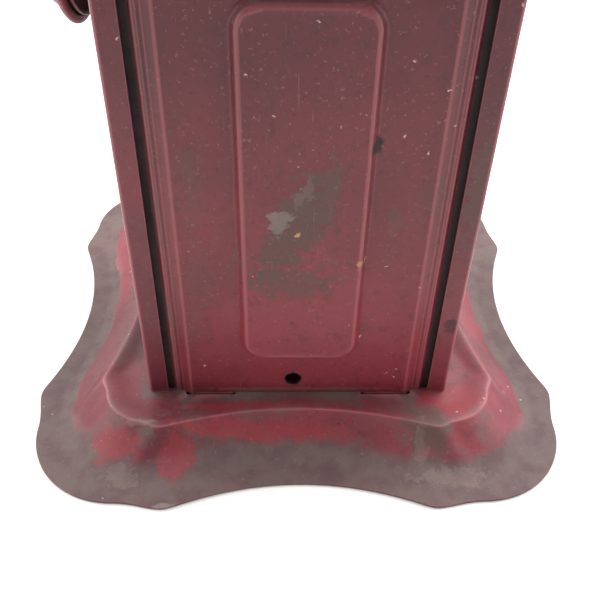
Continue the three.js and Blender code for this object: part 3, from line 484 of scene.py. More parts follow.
def rounded_rect(u: np.ndarray, v: np.ndarray, half: float, low: float, high: float,
                 corner: float) -> np.ndarray:
    """Distance of points inside a rectangle with round corners, negative outside."""
    mid, reach = (low + high) / 2, (high - low) / 2
    a = np.abs(u) - half + corner
    b = np.abs(v - mid) - reach + corner
    out = np.hypot(np.maximum(a, 0), np.maximum(b, 0)) + np.minimum(np.maximum(a, b), 0) - corner
    return -out


@dataclass(frozen=True)
class Ripple:
    """Shallow unevenness that handling leaves in thin sheet."""

    seed: int
    height: float
    lengths: tuple[float, ...] = (44.0, 23.0, 13.0)

    def at(self, u: np.ndarray, v: np.ndarray) -> np.ndarray:
        """Height of the unevenness at points of the sheet, in millimetres."""
        rng = np.random.default_rng(self.seed)
        total = 0 * (u + v)
        for i, length in enumerate(self.lengths):
            for _ in range(3):
                turn, phase = rng.uniform(0, 2 * math.pi, 2)
                run = (u * math.cos(turn) + v * math.sin(turn)) * 2 * math.pi / length
                total = total + np.sin(run + phase) / (i + 1)
        return self.height * total / 3


# ---------------------------------------------------------------- repeated shapes


class Layout(Enum):
    """How copies of a shape are laid out."""

    RING = "turned round an axis"
    ROW = "set along a line"


class Action(Enum):
    """What copies do to the piece."""

    STAND = "stand on the piece"
    PIERCE = "are cut out of the piece"


def copies_tree(name: str, layout: Layout, action: Action) -> NodeTree:
    """Geometry tree that repeats one shape on or through a piece.

    Args:
        name: The tree's name.
        layout: A ring or a row.
        action: Whether the copies are added or cut out.

    Returns:
        The tree, with the inputs Shape, Count, Centre, Axis, Start, Step and Finish.
    """
    tree = bpy.data.node_groups.new(name, "GeometryNodeTree")
    face = tree.interface
    face.new_socket("Geometry", in_out="INPUT", socket_type="NodeSocketGeometry")
    face.new_socket("Shape", in_out="INPUT", socket_type="NodeSocketObject")
    count = face.new_socket("Count", in_out="INPUT", socket_type="NodeSocketInt")
    count.min_value = 1
    face.new_socket("Centre", in_out="INPUT", socket_type="NodeSocketVector")
    face.new_socket("Axis", in_out="INPUT", socket_type="NodeSocketVector")
    face.new_socket("Start", in_out="INPUT", socket_type="NodeSocketFloat")
    face.new_socket("Step", in_out="INPUT", socket_type="NodeSocketVector")
    face.new_socket("Finish", in_out="INPUT", socket_type="NodeSocketMaterial")
    face.new_socket("Geometry", in_out="OUTPUT", socket_type="NodeSocketGeometry")
    given = add(tree, "NodeGroupInput").outputs
    shape = add(tree, "GeometryNodeObjectInfo", {"Object": given["Shape"]}).outputs["Geometry"]
    if layout is Layout.RING:
        spots = add(tree, "GeometryNodePoints", {"Count": given["Count"], "Position": given["Centre"]})
        number = add(tree, "GeometryNodeInputIndex").outputs[0]
        share = add(tree, "ShaderNodeMath", {0: number, 1: given["Count"]}, operation="DIVIDE")
        angle = add(tree, "ShaderNodeMath", {0: share.outputs[0], 1: 2 * math.pi, 2: given["Start"]},
                    operation="MULTIPLY_ADD")
        turn = add(tree, "ShaderNodeVectorMath", {0: given["Axis"], "Scale": angle.outputs[0]},
                   operation="SCALE")
        copies = add(tree, "GeometryNodeInstanceOnPoints",
                     {"Points": spots.outputs[0], "Instance": shape, "Rotation": turn.outputs[0]})
    else:
        spots = add(tree, "GeometryNodeMeshLine",
                    {"Count": given["Count"], "Start Location": given["Centre"], "Offset": given["Step"]})
        copies = add(tree, "GeometryNodeInstanceOnPoints",
                     {"Points": spots.outputs[0], "Instance": shape})
    real = add(tree, "GeometryNodeRealizeInstances", {"Geometry": copies.outputs[0]}).outputs[0]
    if action is Action.PIERCE:
        made = add(tree, "GeometryNodeMeshBoolean", {"Mesh 1": given["Geometry"], "Mesh 2": real},
                   operation="DIFFERENCE", solver="EXACT").outputs[0]
    else:
        both = add(tree, "GeometryNodeJoinGeometry", {"Geometry": real})
        tree.links.new(given["Geometry"], both.inputs[0])
        made = both.outputs[0]
    flat = add(tree, "GeometryNodeRealizeInstances", {"Geometry": made}).outputs[0]
    done = add(tree, "GeometryNodeSetMaterial", {"Geometry": flat, "Material": given["Finish"]})
    add(tree, "NodeGroupOutput", {"Geometry": done.outputs[0]})
    return tree


def repeat(obj: Object, shape: Object, layout: Layout, action: Action, count: int,
           finish: Material, centre: Sequence = (0, 0, 0), axis: Sequence = (0, 0, 1),
           start: float = 0.0, step: Sequence = (0, 0, 0)) -> None:
    """Repeats one shape on or through a piece and keeps the result as plain mesh.

    Args:
        obj: The piece.
        shape: The shape, drawn round the point that is moved to each place; it is removed.
        layout: A ring or a row.
        action: Whether the copies are added or cut out.
        count: Number of copies.
        finish: Material of the result.
        centre: Middle of the ring or first place of the row, in millimetres.
        axis: Direction of the ring's axis.
        start: Angle of the ring's first copy, in degrees.
        step: From one place of the row to the next, in millimetres.
    """
    tree = copies_tree(f"{obj.name} {layout.name} {action.name}".lower(), layout, action)
    change = obj.modifiers.new("copies", "NODES")
    change.node_group = tree
    given = {
        "Shape": shape, "Count": count, "Axis": tuple(float(v) for v in axis),
        "Centre": ((centre[0] + AXIS_X) * MM, centre[1] * MM, centre[2] * MM),
        "Start": math.radians(start), "Step": tuple(v * MM for v in step), "Finish": finish,
    }
    for item in tree.interface.items_tree:
        if item.in_out == "INPUT" and item.name in given:
            change[item.identifier] = given[item.name]
    settle(obj)
    bpy.data.objects.remove(shape)
    bpy.data.node_groups.remove(tree)


def round_point(obj: Object) -> Object:
    """Moves a shape drawn on the lantern's axes to lie round the row frame's origin."""
    obj.data.transform(Matrix.Translation((-AXIS_X * MM, 0, 0)))
    return obj


# ---------------------------------------------------------------- finishes


class Stain(Enum):
    """What a mark on the lacquer shows: its colour and how far it covers."""

    BARE = ("6C625E", 0.9)  # worn through to grey tin
    DIRT = ("584640", 0.78)  # brown film of grime
    BURN = ("1E1A1C", 0.9)  # blackened spot
    DEEP = ("90303A", 0.8)  # clean, deeper red lacquer
    BRASSY = ("C09458", 0.9)  # yellow glint of scraped metal
    DUST = ("94847A", 0.28)  # pale dry dust


@dataclass(frozen=True)
class Mark:
    """One mark: its middle, its half sizes and its turn in the plane that it lies in."""

    stain: Stain
    at: tuple[float, float, float]
    size: tuple[float, float, float]
    turn: float = 0.0  # degrees round Y on an upright face
    ragged: float = 0.5
    strength: float = 1.0


def start_finish(name: str) -> tuple[Material, NodeTree, Node, NodeSocket]:
    """Starts a material.

    Args:
        name: The material's name.

    Returns:
        The material, its tree, its main shader and the piece's own coordinates.
    """
    material = bpy.data.materials.new(name)
    material.use_nodes = True
    tree = material.node_tree
    tree.nodes.clear()
    shader = add(tree, "ShaderNodeBsdfPrincipled")
    add(tree, "ShaderNodeOutputMaterial", {"Surface": shader.outputs[0]})
    return material, tree, shader, add(tree, "ShaderNodeTexCoord", out="Object")


def clouds(tree: NodeTree, where: NodeSocket, size: float, low: float, high: float,
           most: float = 1.0, shift: float = 0.0, detail: float = 4.0, rough: float = 0.6,
           stretch: Sequence = (1, 1, 1)) -> NodeSocket:
    """Soft random pattern of a real size.

    Args:
        tree: The material's tree.
        where: Coordinates.
        size: Size of a feature in millimetres.
        low: Raw value at which the pattern starts.
        high: Raw value at which it is full.
        most: Its full value.
        shift: Moves the pattern, so that two layers differ.
        detail: Number of finer layers.
        rough: Weight of the finer layers.
        stretch: Features are drawn out by these factors.

    Returns:
        The pattern's value.
    """
    place = add(tree, "ShaderNodeMapping", {
        "Vector": where, "Location": (shift, shift * 0.7, shift * 1.3),
        "Scale": tuple(1 / (MM * size * s) for s in stretch),
    }, 0)
    raw = add(tree, "ShaderNodeTexNoise", {"Vector": place, "Scale": 1.0, "Detail": detail,
                                           "Roughness": rough}, 0)
    return add(tree, "ShaderNodeMapRange", {"Value": raw, "From Min": low, "From Max": high, "To Max": most},
               0, interpolation_type="SMOOTHSTEP")


@dataclass(frozen=True)
class RedLacquer:
    """Red spirit lacquer on tinplate, brushed on and stoved, then worn by use.

    It looks like a thin satin skin: deep maroon where it is clean, brown-grey under old grime,
    with thin pink lines on its folds, partly rubbed lacquer and partly painted highlight, rare bare
    tin, pin-sized pale chips and fine scratches. Where asked, painted shade darkens it towards the
    top, and the gap attribute paints near-black shade into recesses and gaps between parts.
    """

    name: str
    ground: str = "7C323B"
    shade: str = "662932"
    clean: str = "8C303A"
    grime_tone: str = "625450"
    grime: float = 0.35  # share of the surface under a film of dirt
    wear: float = 0.5  # how far edges are rubbed, and how strong the painted pink highlight on them is
    chips: float = 1.0  # how many small chips
    painted_top_shade: float = 0.0  # how far painted shade darkens it towards the top
    gloss: float = 0.34
    marks: tuple[Mark, ...] = ()

    def mask(self, tree: NodeTree, where: NodeSocket, mark: Mark, number: int) -> NodeSocket:
        """Where a mark lies, from 0 outside to its strength inside.

        Args:
            tree: The material's tree.
            where: Coordinates.
            mark: The mark.
            number: Its number, which sets its ragged border.

        Returns:
            The mark's value.
        """
        place = add(tree, "ShaderNodeMapping", {
            "Vector": where, "Location": ((mark.at[0] + AXIS_X) * MM, mark.at[1] * MM, mark.at[2] * MM),
            "Rotation": (0, math.radians(mark.turn), 0), "Scale": tuple(s * MM for s in mark.size),
        }, 0, vector_type="TEXTURE")
        far = add(tree, "ShaderNodeVectorMath", {0: place}, "Value", operation="LENGTH")
        border = clouds(tree, where, 1.6 + 0.3 * min(mark.size), 0.25, 0.75, mark.ragged * 1.7, number * 3.1,
                        7, 0.72)
        reach = add(tree, "ShaderNodeMath", {0: far, 1: border}, 0, operation="ADD")
        limit = 1 + mark.ragged * 0.85
        return add(tree, "ShaderNodeMapRange", {
            "Value": reach, "From Min": limit + 0.1, "From Max": limit - 0.3,
            "To Max": mark.strength * mark.stain.value[1],
        }, 0, interpolation_type="SMOOTHSTEP")

    def chipping(self, tree: NodeTree, where: NodeSocket) -> NodeSocket:
        """Pin-sized chips in loose groups, one at most in each 2.2 mm cell."""
        cell = add(tree, "ShaderNodeMapping", {"Vector": where, "Scale": (450, 450, 450)}, 0)
        warp = add(tree, "ShaderNodeTexNoise", {"Vector": where, "Scale": 1500.0, "Detail": 2.0}, "Color")
        bent = add(tree, "ShaderNodeVectorMath", {0: warp, 1: (0.6, 0.6, 0.6), 2: cell}, 0,
                   operation="MULTIPLY_ADD")
        seed = add(tree, "ShaderNodeTexVoronoi", {"Vector": bent, "Scale": 1.0})
        size = add(tree, "ShaderNodeMapRange", {"Value": seed.outputs["Distance"], "From Min": 0.15,
                                                "From Max": 0.07, "To Max": 0.7}, 0)
        chance = add(tree, "ShaderNodeSeparateColor", {0: seed.outputs["Color"]}, 0)
        groups = clouds(tree, where, 12, 0.46, 0.74, -0.30 * self.chips, 21.0)
        wanted = add(tree, "ShaderNodeMath", {0: groups, 1: 0.985}, 0, operation="ADD")
        picked = add(tree, "ShaderNodeMath", {0: chance, 1: wanted}, 0, operation="GREATER_THAN")
        return add(tree, "ShaderNodeMath", {0: size, 1: picked}, 0, operation="MULTIPLY")

    def make(self) -> Material:
        """Builds the material.

        Returns:
            The finished material.
        """
        material, tree, shader, where = start_finish(self.name)
        # edge sets rubbed wear and painted highlights; gap sets painted near-black shade in recesses and
        # between parts
        edge, soil, gap = (add(tree, "ShaderNodeAttribute", {}, "Fac", attribute_name=name)
                           for name in ("edge", "soil", "gap"))
        fine = clouds(tree, where, 1.6, 0.3, 0.7, 1.0, 3.0, 4, 0.7)
        # dirt: thin everywhere, thick where the piece says so
        film = add(tree, "ShaderNodeMath", {0: soil, 1: 1.25, 2: self.grime - 0.45}, 0,
                   operation="MULTIPLY_ADD")
        for pattern in (clouds(tree, where, 13, 0.36, 0.66, 0.5, 14.0, 6, 0.68),
                        clouds(tree, where, 1.6, 0.3, 0.7, 0.16, 3.0, 4, 0.7)):
            film = add(tree, "ShaderNodeMath", {0: film, 1: pattern}, 0, operation="ADD")
        film = add(tree, "ShaderNodeMapRange", {"Value": film, "From Min": 0.1, "From Max": 0.9,
                                                "To Max": 0.92}, 0, interpolation_type="SMOOTHSTEP")
        dirt = add(tree, "ShaderNodeMix", {0: clouds(tree, where, 6, 0.4, 0.65, 1.0, 6.0, 5),
                                           6: linear(self.grime_tone), 7: linear("584446")}, 2,
                   data_type="RGBA")
        # edges: thin pink lacquer, partly rubbed wear and partly painted highlight, and bare tin where the
        # rub is deepest
        thin = add(tree, "ShaderNodeMath", {0: edge, 1: 1.1 * self.wear}, 0, operation="MULTIPLY")
        rub = add(tree, "ShaderNodeMath",
                  {0: edge, 1: clouds(tree, where, 2.4, 0.42, 0.7, 1.0, 1.0, 6, 0.72)}, 0,
                  operation="MULTIPLY")
        bare = add(tree, "ShaderNodeMapRange", {
            "Value": rub, "From Min": 0.95 - 0.5 * self.wear, "From Max": 1.2 - 0.5 * self.wear,
        }, 0, interpolation_type="SMOOTHSTEP")
        chip = self.chipping(tree, where)
        # fine handling scratches, upright, and pale dust lodged in the lacquer's pores
        hair = clouds(tree, where, 0.45, 0.73, 0.79, 0.10, 8.0, 1, 0.4, (1, 1, 18))
        pores = clouds(tree, where, 0.8, 0.60, 0.74, 0.42, 31.0, 3, 0.65)

        # from the ground up: drift of tone, dulled clouds, dark spots, dirt, painted shade towards the top,
        # marks, wear with painted highlights, painted shade in gaps
        coats = [
            (clouds(tree, where, 34, 0.38, 0.62, 1.0, 0.0, 3, 0.5), linear(self.ground)),
            (clouds(tree, where, 22, 0.55, 0.7, 0.5, 5.0), linear(self.clean)),
            (clouds(tree, where, 3.0, 0.52, 0.70, 0.5, 9.0, 6, 0.72), linear("4A2428")),
            (clouds(tree, where, 1.1, 0.60, 0.72, 0.5, 2.0, 3), linear("40201C")),
            (film, dirt),
            # painted shade: the lacquer darkens with height from 20 to 100 mm, where the upper door and walls
            # get less light
            (add(tree, "ShaderNodeMapRange", {
                "Value": add(tree, "ShaderNodeSeparateXYZ", {0: where}, 2), "From Min": 0.02,
                "From Max": 0.10, "To Max": self.painted_top_shade,
            }, 0, interpolation_type="SMOOTHSTEP"), linear("34161A")),
        ]
        dull = film
        for number, mark in enumerate(self.marks):
            spot = self.mask(tree, where, mark, number)
            coats.append((spot, linear(mark.stain.value[0])))
            if mark.stain in (Stain.BARE, Stain.BRASSY):
                shine = add(tree, "ShaderNodeMath", {0: spot, 1: 0.2}, 0, operation="MULTIPLY")
                bare = add(tree, "ShaderNodeMath", {0: bare, 1: shine}, 0, operation="MAXIMUM")
            elif mark.stain is not Stain.DEEP:
                dull = add(tree, "ShaderNodeMath", {0: dull, 1: spot}, 0, operation="MAXIMUM")
        tin = add(tree, "ShaderNodeMix", {0: fine, 6: linear("9A918A"), 7: linear("BFAC9A")}, 2,
                  data_type="RGBA")
        coats += [(thin, linear("B4656C")), (bare, tin), (chip, linear("DCC0B0"))]
        # painted shade: the gap coat is near black in recesses and between parts
        coats += [(hair, linear("B08A86")), (pores, linear("9C6E6C")), (gap, linear("1C1414"))]
        tone = linear(self.shade)
        for share, colour in coats:
            tone = add(tree, "ShaderNodeMix", {0: share, 6: tone, 7: colour}, 2, data_type="RGBA")

        rough = add(tree, "ShaderNodeMix", {0: dull, 2: self.gloss, 3: 0.62}, 0, data_type="FLOAT")
        rough = add(tree, "ShaderNodeMath", {0: fine, 1: 0.08, 2: rough}, 0, operation="MULTIPLY_ADD")
        relief = clouds(tree, where, 0.9, 0.2, 0.8, 0.25, 4.0, 3)
        for pattern, height in ((dull, 0.4), (chip, -1.4), (bare, -0.8)):
            relief = add(tree, "ShaderNodeMath", {0: pattern, 1: height, 2: relief}, 0,
                         operation="MULTIPLY_ADD")
        bump = add(tree, "ShaderNodeBump", {"Height": relief, "Strength": 0.5, "Distance": 0.00008}, 0)
        metal = add(tree, "ShaderNodeMath", {0: bare, 1: 0.7}, 0, operation="MULTIPLY")
        level = add(tree, "ShaderNodeMapRange", {"Value": gap, "To Min": 0.0, "To Max": 0.35}, 0)
        rough = add(tree, "ShaderNodeMath", {0: rough, 1: level}, 0, operation="ADD", use_clamp=True)
        for key, value in {"Base Color": tone, "Roughness": rough, "Metallic": metal, "Normal": bump}.items():
            tree.links.new(value, shader.inputs[key])
        shader.inputs["IOR"].default_value = 1.45  # shellac, a little matted
        return material


@dataclass(frozen=True)
class SheetMetal:
    """Bare rolled or turned metal with a dull skin of age: tin, brass, spring steel or silvering.

    It shows broken reflections, darker tarnish in clouds and fine marks along the way it was worked.
    """

    name: str
    ground: str
    tarnish: str
    bright: str
    gloss: float = 0.36
    aged: float = 0.6
    worked: tuple[float, float, float] = (1.0, 1.0, 14.0)  # direction of the fine marks

    def make(self) -> Material:
        """Builds the material.

        Returns:
            The finished material.
        """
        material, tree, shader, where = start_finish(self.name)
        edge = add(tree, "ShaderNodeAttribute", {}, "Fac", attribute_name="edge")
        dull = add(tree, "ShaderNodeMath", {
            0: clouds(tree, where, 9, 0.40, 0.66, self.aged, 0.0, 6, 0.66),
            1: clouds(tree, where, 1.4, 0.60, 0.74, self.aged, 7.0),
        }, 0, operation="MAXIMUM")
        lines = clouds(tree, where, 0.32, 0.35, 0.65, 1.0, 2.0, 2, 0.5, self.worked)
        rubbed = add(tree, "ShaderNodeMath", {0: edge, 1: 0.6}, 0, operation="MULTIPLY")
        scored = add(tree, "ShaderNodeMath", {0: lines, 1: 0.12}, 0, operation="MULTIPLY")
        tone = linear(self.ground)
        for share, colour in ((dull, self.tarnish), (rubbed, self.bright), (scored, self.tarnish)):
            tone = add(tree, "ShaderNodeMix", {0: share, 6: tone, 7: linear(colour)}, 2, data_type="RGBA")
        rough = add(tree, "ShaderNodeMath", {0: dull, 1: 0.28, 2: self.gloss}, 0, operation="MULTIPLY_ADD")
        rough = add(tree, "ShaderNodeMath", {0: lines, 1: 0.08, 2: rough}, 0, operation="MULTIPLY_ADD")
        bump = add(tree, "ShaderNodeBump", {"Height": lines, "Strength": 0.3, "Distance": 0.00003}, 0)
        for key, value in {"Base Color": tone, "Roughness": rough, "Normal": bump}.items():
            tree.links.new(value, shader.inputs[key])
        shader.inputs["Metallic"].default_value = 1.0
        return material


@dataclass(frozen=True)
class ClearGlass:
    """Soda-lime glass, ground and polished or blown: clear and sharp, with a trace of dust and smoke."""

    name: str
    tint: str = "F2F7F5"
    smoke: float = 0.0
    smoke_from: float = 0.0  # height at which smoke starts, in millimetres

    def make(self) -> Material:
        """Builds the material.

        Returns:
            The finished material.
        """
        material, tree, shader, where = start_finish(self.name)
        height = add(tree, "ShaderNodeSeparateXYZ", {0: where}, 2)
        rise = add(tree, "ShaderNodeMapRange", {
            "Value": height, "From Min": self.smoke_from * MM, "From Max": (self.smoke_from + 46) * MM,
            "To Max": self.smoke,
        }, 0)
        wisps = clouds(tree, where, 8, 0.3, 0.7, 1.0, 0.0, stretch=(1, 1, 3))
        veil = add(tree, "ShaderNodeMath", {0: rise, 1: wisps}, 0, operation="MULTIPLY")
        tone = add(tree, "ShaderNodeMix", {0: veil, 6: linear(self.tint), 7: linear("6A5A48")}, 2,
                   data_type="RGBA")
        dust = clouds(tree, where, 1.8, 0.5, 0.8, 0.06, 3.0)
        rough = add(tree, "ShaderNodeMath", {0: dust, 1: 0.02}, 0, operation="ADD")
        tree.links.new(tone, shader.inputs["Base Color"])
        tree.links.new(rough, shader.inputs["Roughness"])
        shader.inputs["IOR"].default_value = 1.52
        shader.inputs["Transmission Weight"].default_value = 1.0
        return material


@dataclass(frozen=True)
class WovenCotton:
    """Flat lamp wick of woven cotton: a soft, ribbed weave with a charred end."""

    name: str
    char_from: float  # height at which the char starts, in millimetres
    thread: float = 0.8  # distance between threads, in millimetres

    def make(self) -> Material:
        """Builds the material.

        Returns:
            The finished material.
        """
        material, tree, shader, where = start_finish(self.name)
        rate = math.pi / (10 * self.thread * MM)
        warp, weft = (add(tree, "ShaderNodeTexWave", {"Vector": where, "Scale": rate, "Distortion": 1.2},
                          "Fac", bands_direction=way) for way in ("Y", "Z"))
        weave = add(tree, "ShaderNodeMath", {0: warp, 1: weft}, 0, operation="MULTIPLY")
        height = add(tree, "ShaderNodeSeparateXYZ", {0: where}, 2)
        ragged = clouds(tree, where, 2.0, 0.3, 0.7, 0.0015, 0.0)
        level = add(tree, "ShaderNodeMath", {0: ragged, 1: height}, 0, operation="ADD")
        char = add(tree, "ShaderNodeMapRange", {
            "Value": level, "From Min": self.char_from * MM, "From Max": (self.char_from + 1.6) * MM,
        }, 0, interpolation_type="SMOOTHSTEP")
        tone = linear("9A8A6A")
        for share, colour in ((weave, "DCD0B4"), (char, "1A1614")):
            tone = add(tree, "ShaderNodeMix", {0: share, 6: tone, 7: linear(colour)}, 2, data_type="RGBA")
        bump = add(tree, "ShaderNodeBump", {"Height": weave, "Strength": 0.8, "Distance": 0.0002}, 0)
        tree.links.new(tone, shader.inputs["Base Color"])
        tree.links.new(bump, shader.inputs["Normal"])
        shader.inputs["Roughness"].default_value = 0.92
        shader.inputs["Sheen Weight"].default_value = 0.3
        return material


@dataclass
class Finishes:
    """All finishes, built once."""

    base: Material = field(init=False)
    door: Material = field(init=False)
    house: Material = field(init=False)
    roof: Material = field(init=False)
    optics: Material = field(init=False)
    tin: Material = field(init=False)
    brass: Material = field(init=False)
    steel: Material = field(init=False)
    silver: Material = field(init=False)
    lens: Material = field(init=False)
    chimney_glass: Material = field(init=False)
    cotton: Material = field(init=False)

    def __post_init__(self) -> None:
        """Builds every finish."""
        self.base = RedLacquer("lacquer_on_pressed_base", ground="84363F", grime=0.24, wear=0.6, marks=(
            Mark(Stain.DEEP, (-40, -46, 3), (6, 4, 6), 0, 0.6, 0.8),
            Mark(Stain.DEEP, (-26.5, -49, 3), (4.2, 5, 6), 0, 0.5, 0.8),
            Mark(Stain.DEEP, (-8, -43.5, 7), (22, 2.2, 6), 0, 0.5, 0.9),
            Mark(Stain.DEEP, (-14, -38, 7), (12, 1.3, 4), 0, 0.5, 0.8),
            Mark(Stain.DEEP, (34, -36, 7), (7, 4.5, 5), 0, 0.6, 0.85),
            Mark(Stain.DIRT, (28, -44, 6), (5, 6, 5), 0, 0.6, 0.9),
            Mark(Stain.DIRT, (-33, -44.5, 6), (2.2, 3, 5), 0, 0.6, 0.9),
            Mark(Stain.BARE, (-28, -59.6, 0), (3.2, 0.9, 1), 0, 0.4, 0.9),
            Mark(Stain.DUST, (33, -53, 1), (8, 2.2, 3), 0, 0.9, 0.7),
            Mark(Stain.DUST, (26.5, -46, 4), (1.6, 4.5, 5), 0, 0.9, 0.6),
            Mark(Stain.DUST, (-38, -52.5, 1), (3, 3, 3), 0, 0.9, 0.6),
            Mark(Stain.DUST, (-35.5, -43, 7.5), (4.5, 0.8, 1.5), 0, 0.6, 0.9),
        )).make()
        # the door and the walls get painted shade towards the top
        self.door = RedLacquer("lacquer_on_pressed_door", ground="86303A", shade="782B34", grime=0.0,
                               wear=0.5, chips=1.5,
                               painted_top_shade=0.62, marks=(
            Mark(Stain.DIRT, (-0.8, -35, 54), (5.4, 4, 14), 27, 0.6, 1.0),
            Mark(Stain.DIRT, (-2.0, -35, 40), (9.0, 4, 4.4), -6, 1.0, 0.85),
            Mark(Stain.BARE, (-4.4, -35, 54.6), (2.2, 3, 2.8), 30, 0.9, 0.75),
            Mark(Stain.BARE, (-0.2, -35, 60.2), (1.3, 3, 3.0), 30, 1.0, 0.3),
            Mark(Stain.BRASSY, (-1.0, -35, 51.6), (1.0, 3, 0.35), -35, 1.0, 0.9),
            Mark(Stain.BURN, (12.4, -34, 69.8), (1.4, 3, 2.0), 10, 0.5, 1.0),
            Mark(Stain.DIRT, (17.6, -34, 53), (2.0, 3, 3.4), 0, 0.9, 0.5),
            Mark(Stain.DIRT, (23.0, -34, 59), (3.5, 3, 5.0), 0, 0.9, 0.35),
            Mark(Stain.DIRT, (-20.5, -34, 63), (2.6, 3, 5.0), 0, 1.5, 0.3),
            Mark(Stain.DIRT, (-20.0, -34, 37), (3.2, 3, 8.0), 8, 1.5, 0.3),
            Mark(Stain.DIRT, (-12.5, -35, 44), (2.2, 3, 3.0), 0, 1.4, 0.4),
            Mark(Stain.BRASSY, (11.2, -35, 44.6), (0.5, 3, 1.8), 32, 1.4, 0.7),
            Mark(Stain.DUST, (0, -33, 7.6), (26, 4, 0.6), 0, 0.5, 0.9),
        )).make()
        self.house = RedLacquer("lacquer_on_folded_walls", grime=0.08, wear=0.55, painted_top_shade=0.45, marks=(
            Mark(Stain.BURN, (32, -33.4, 27), (1.6, 1, 2.2), 10, 0.8, 0.6),
            Mark(Stain.DIRT, (32, -33.4, 60), (2.4, 1.5, 13), 0, 0.9, 0.8),
        )).make()
        self.roof = RedLacquer("lacquer_on_hot_tin", ground="6E2E36", shade="54242A", grime=0.26,
                               wear=0.45, chips=0.7, gloss=0.40).make()
        self.optics = RedLacquer("lacquer_on_spun_tin", grime=0.30, wear=0.5, gloss=0.34).make()
        self.tin = SheetMetal("rolled_tinplate", "A8A49C", "6E675E", "D2CEC6", 0.36, 0.7).make()
        self.brass = SheetMetal("turned_brass_aged", "A4864C", "5E4626", "D0B478", 0.28, 0.75,
                                (14.0, 1.0, 1.0)).make()
        self.steel = SheetMetal("tempered_spring_steel", "7C7E82", "4A4440", "A8AAAE", 0.30, 0.5).make()
        self.silver = SheetMetal("silvered_copper", "DCDCDA", "A89C84", "F0F0EE", 0.06, 0.35,
                                 (1.0, 1.0, 1.0)).make()
        self.lens = ClearGlass("ground_lens_glass", "EEF5F2").make()
        self.chimney_glass = ClearGlass("blown_lamp_glass", "F4F6F2", 0.5, 92.0).make()
        self.cotton = WovenCotton("woven_cotton_wick", 86.6).make()
        log.info("finishes built")


# ---------------------------------------------------------------- sub-assemblies


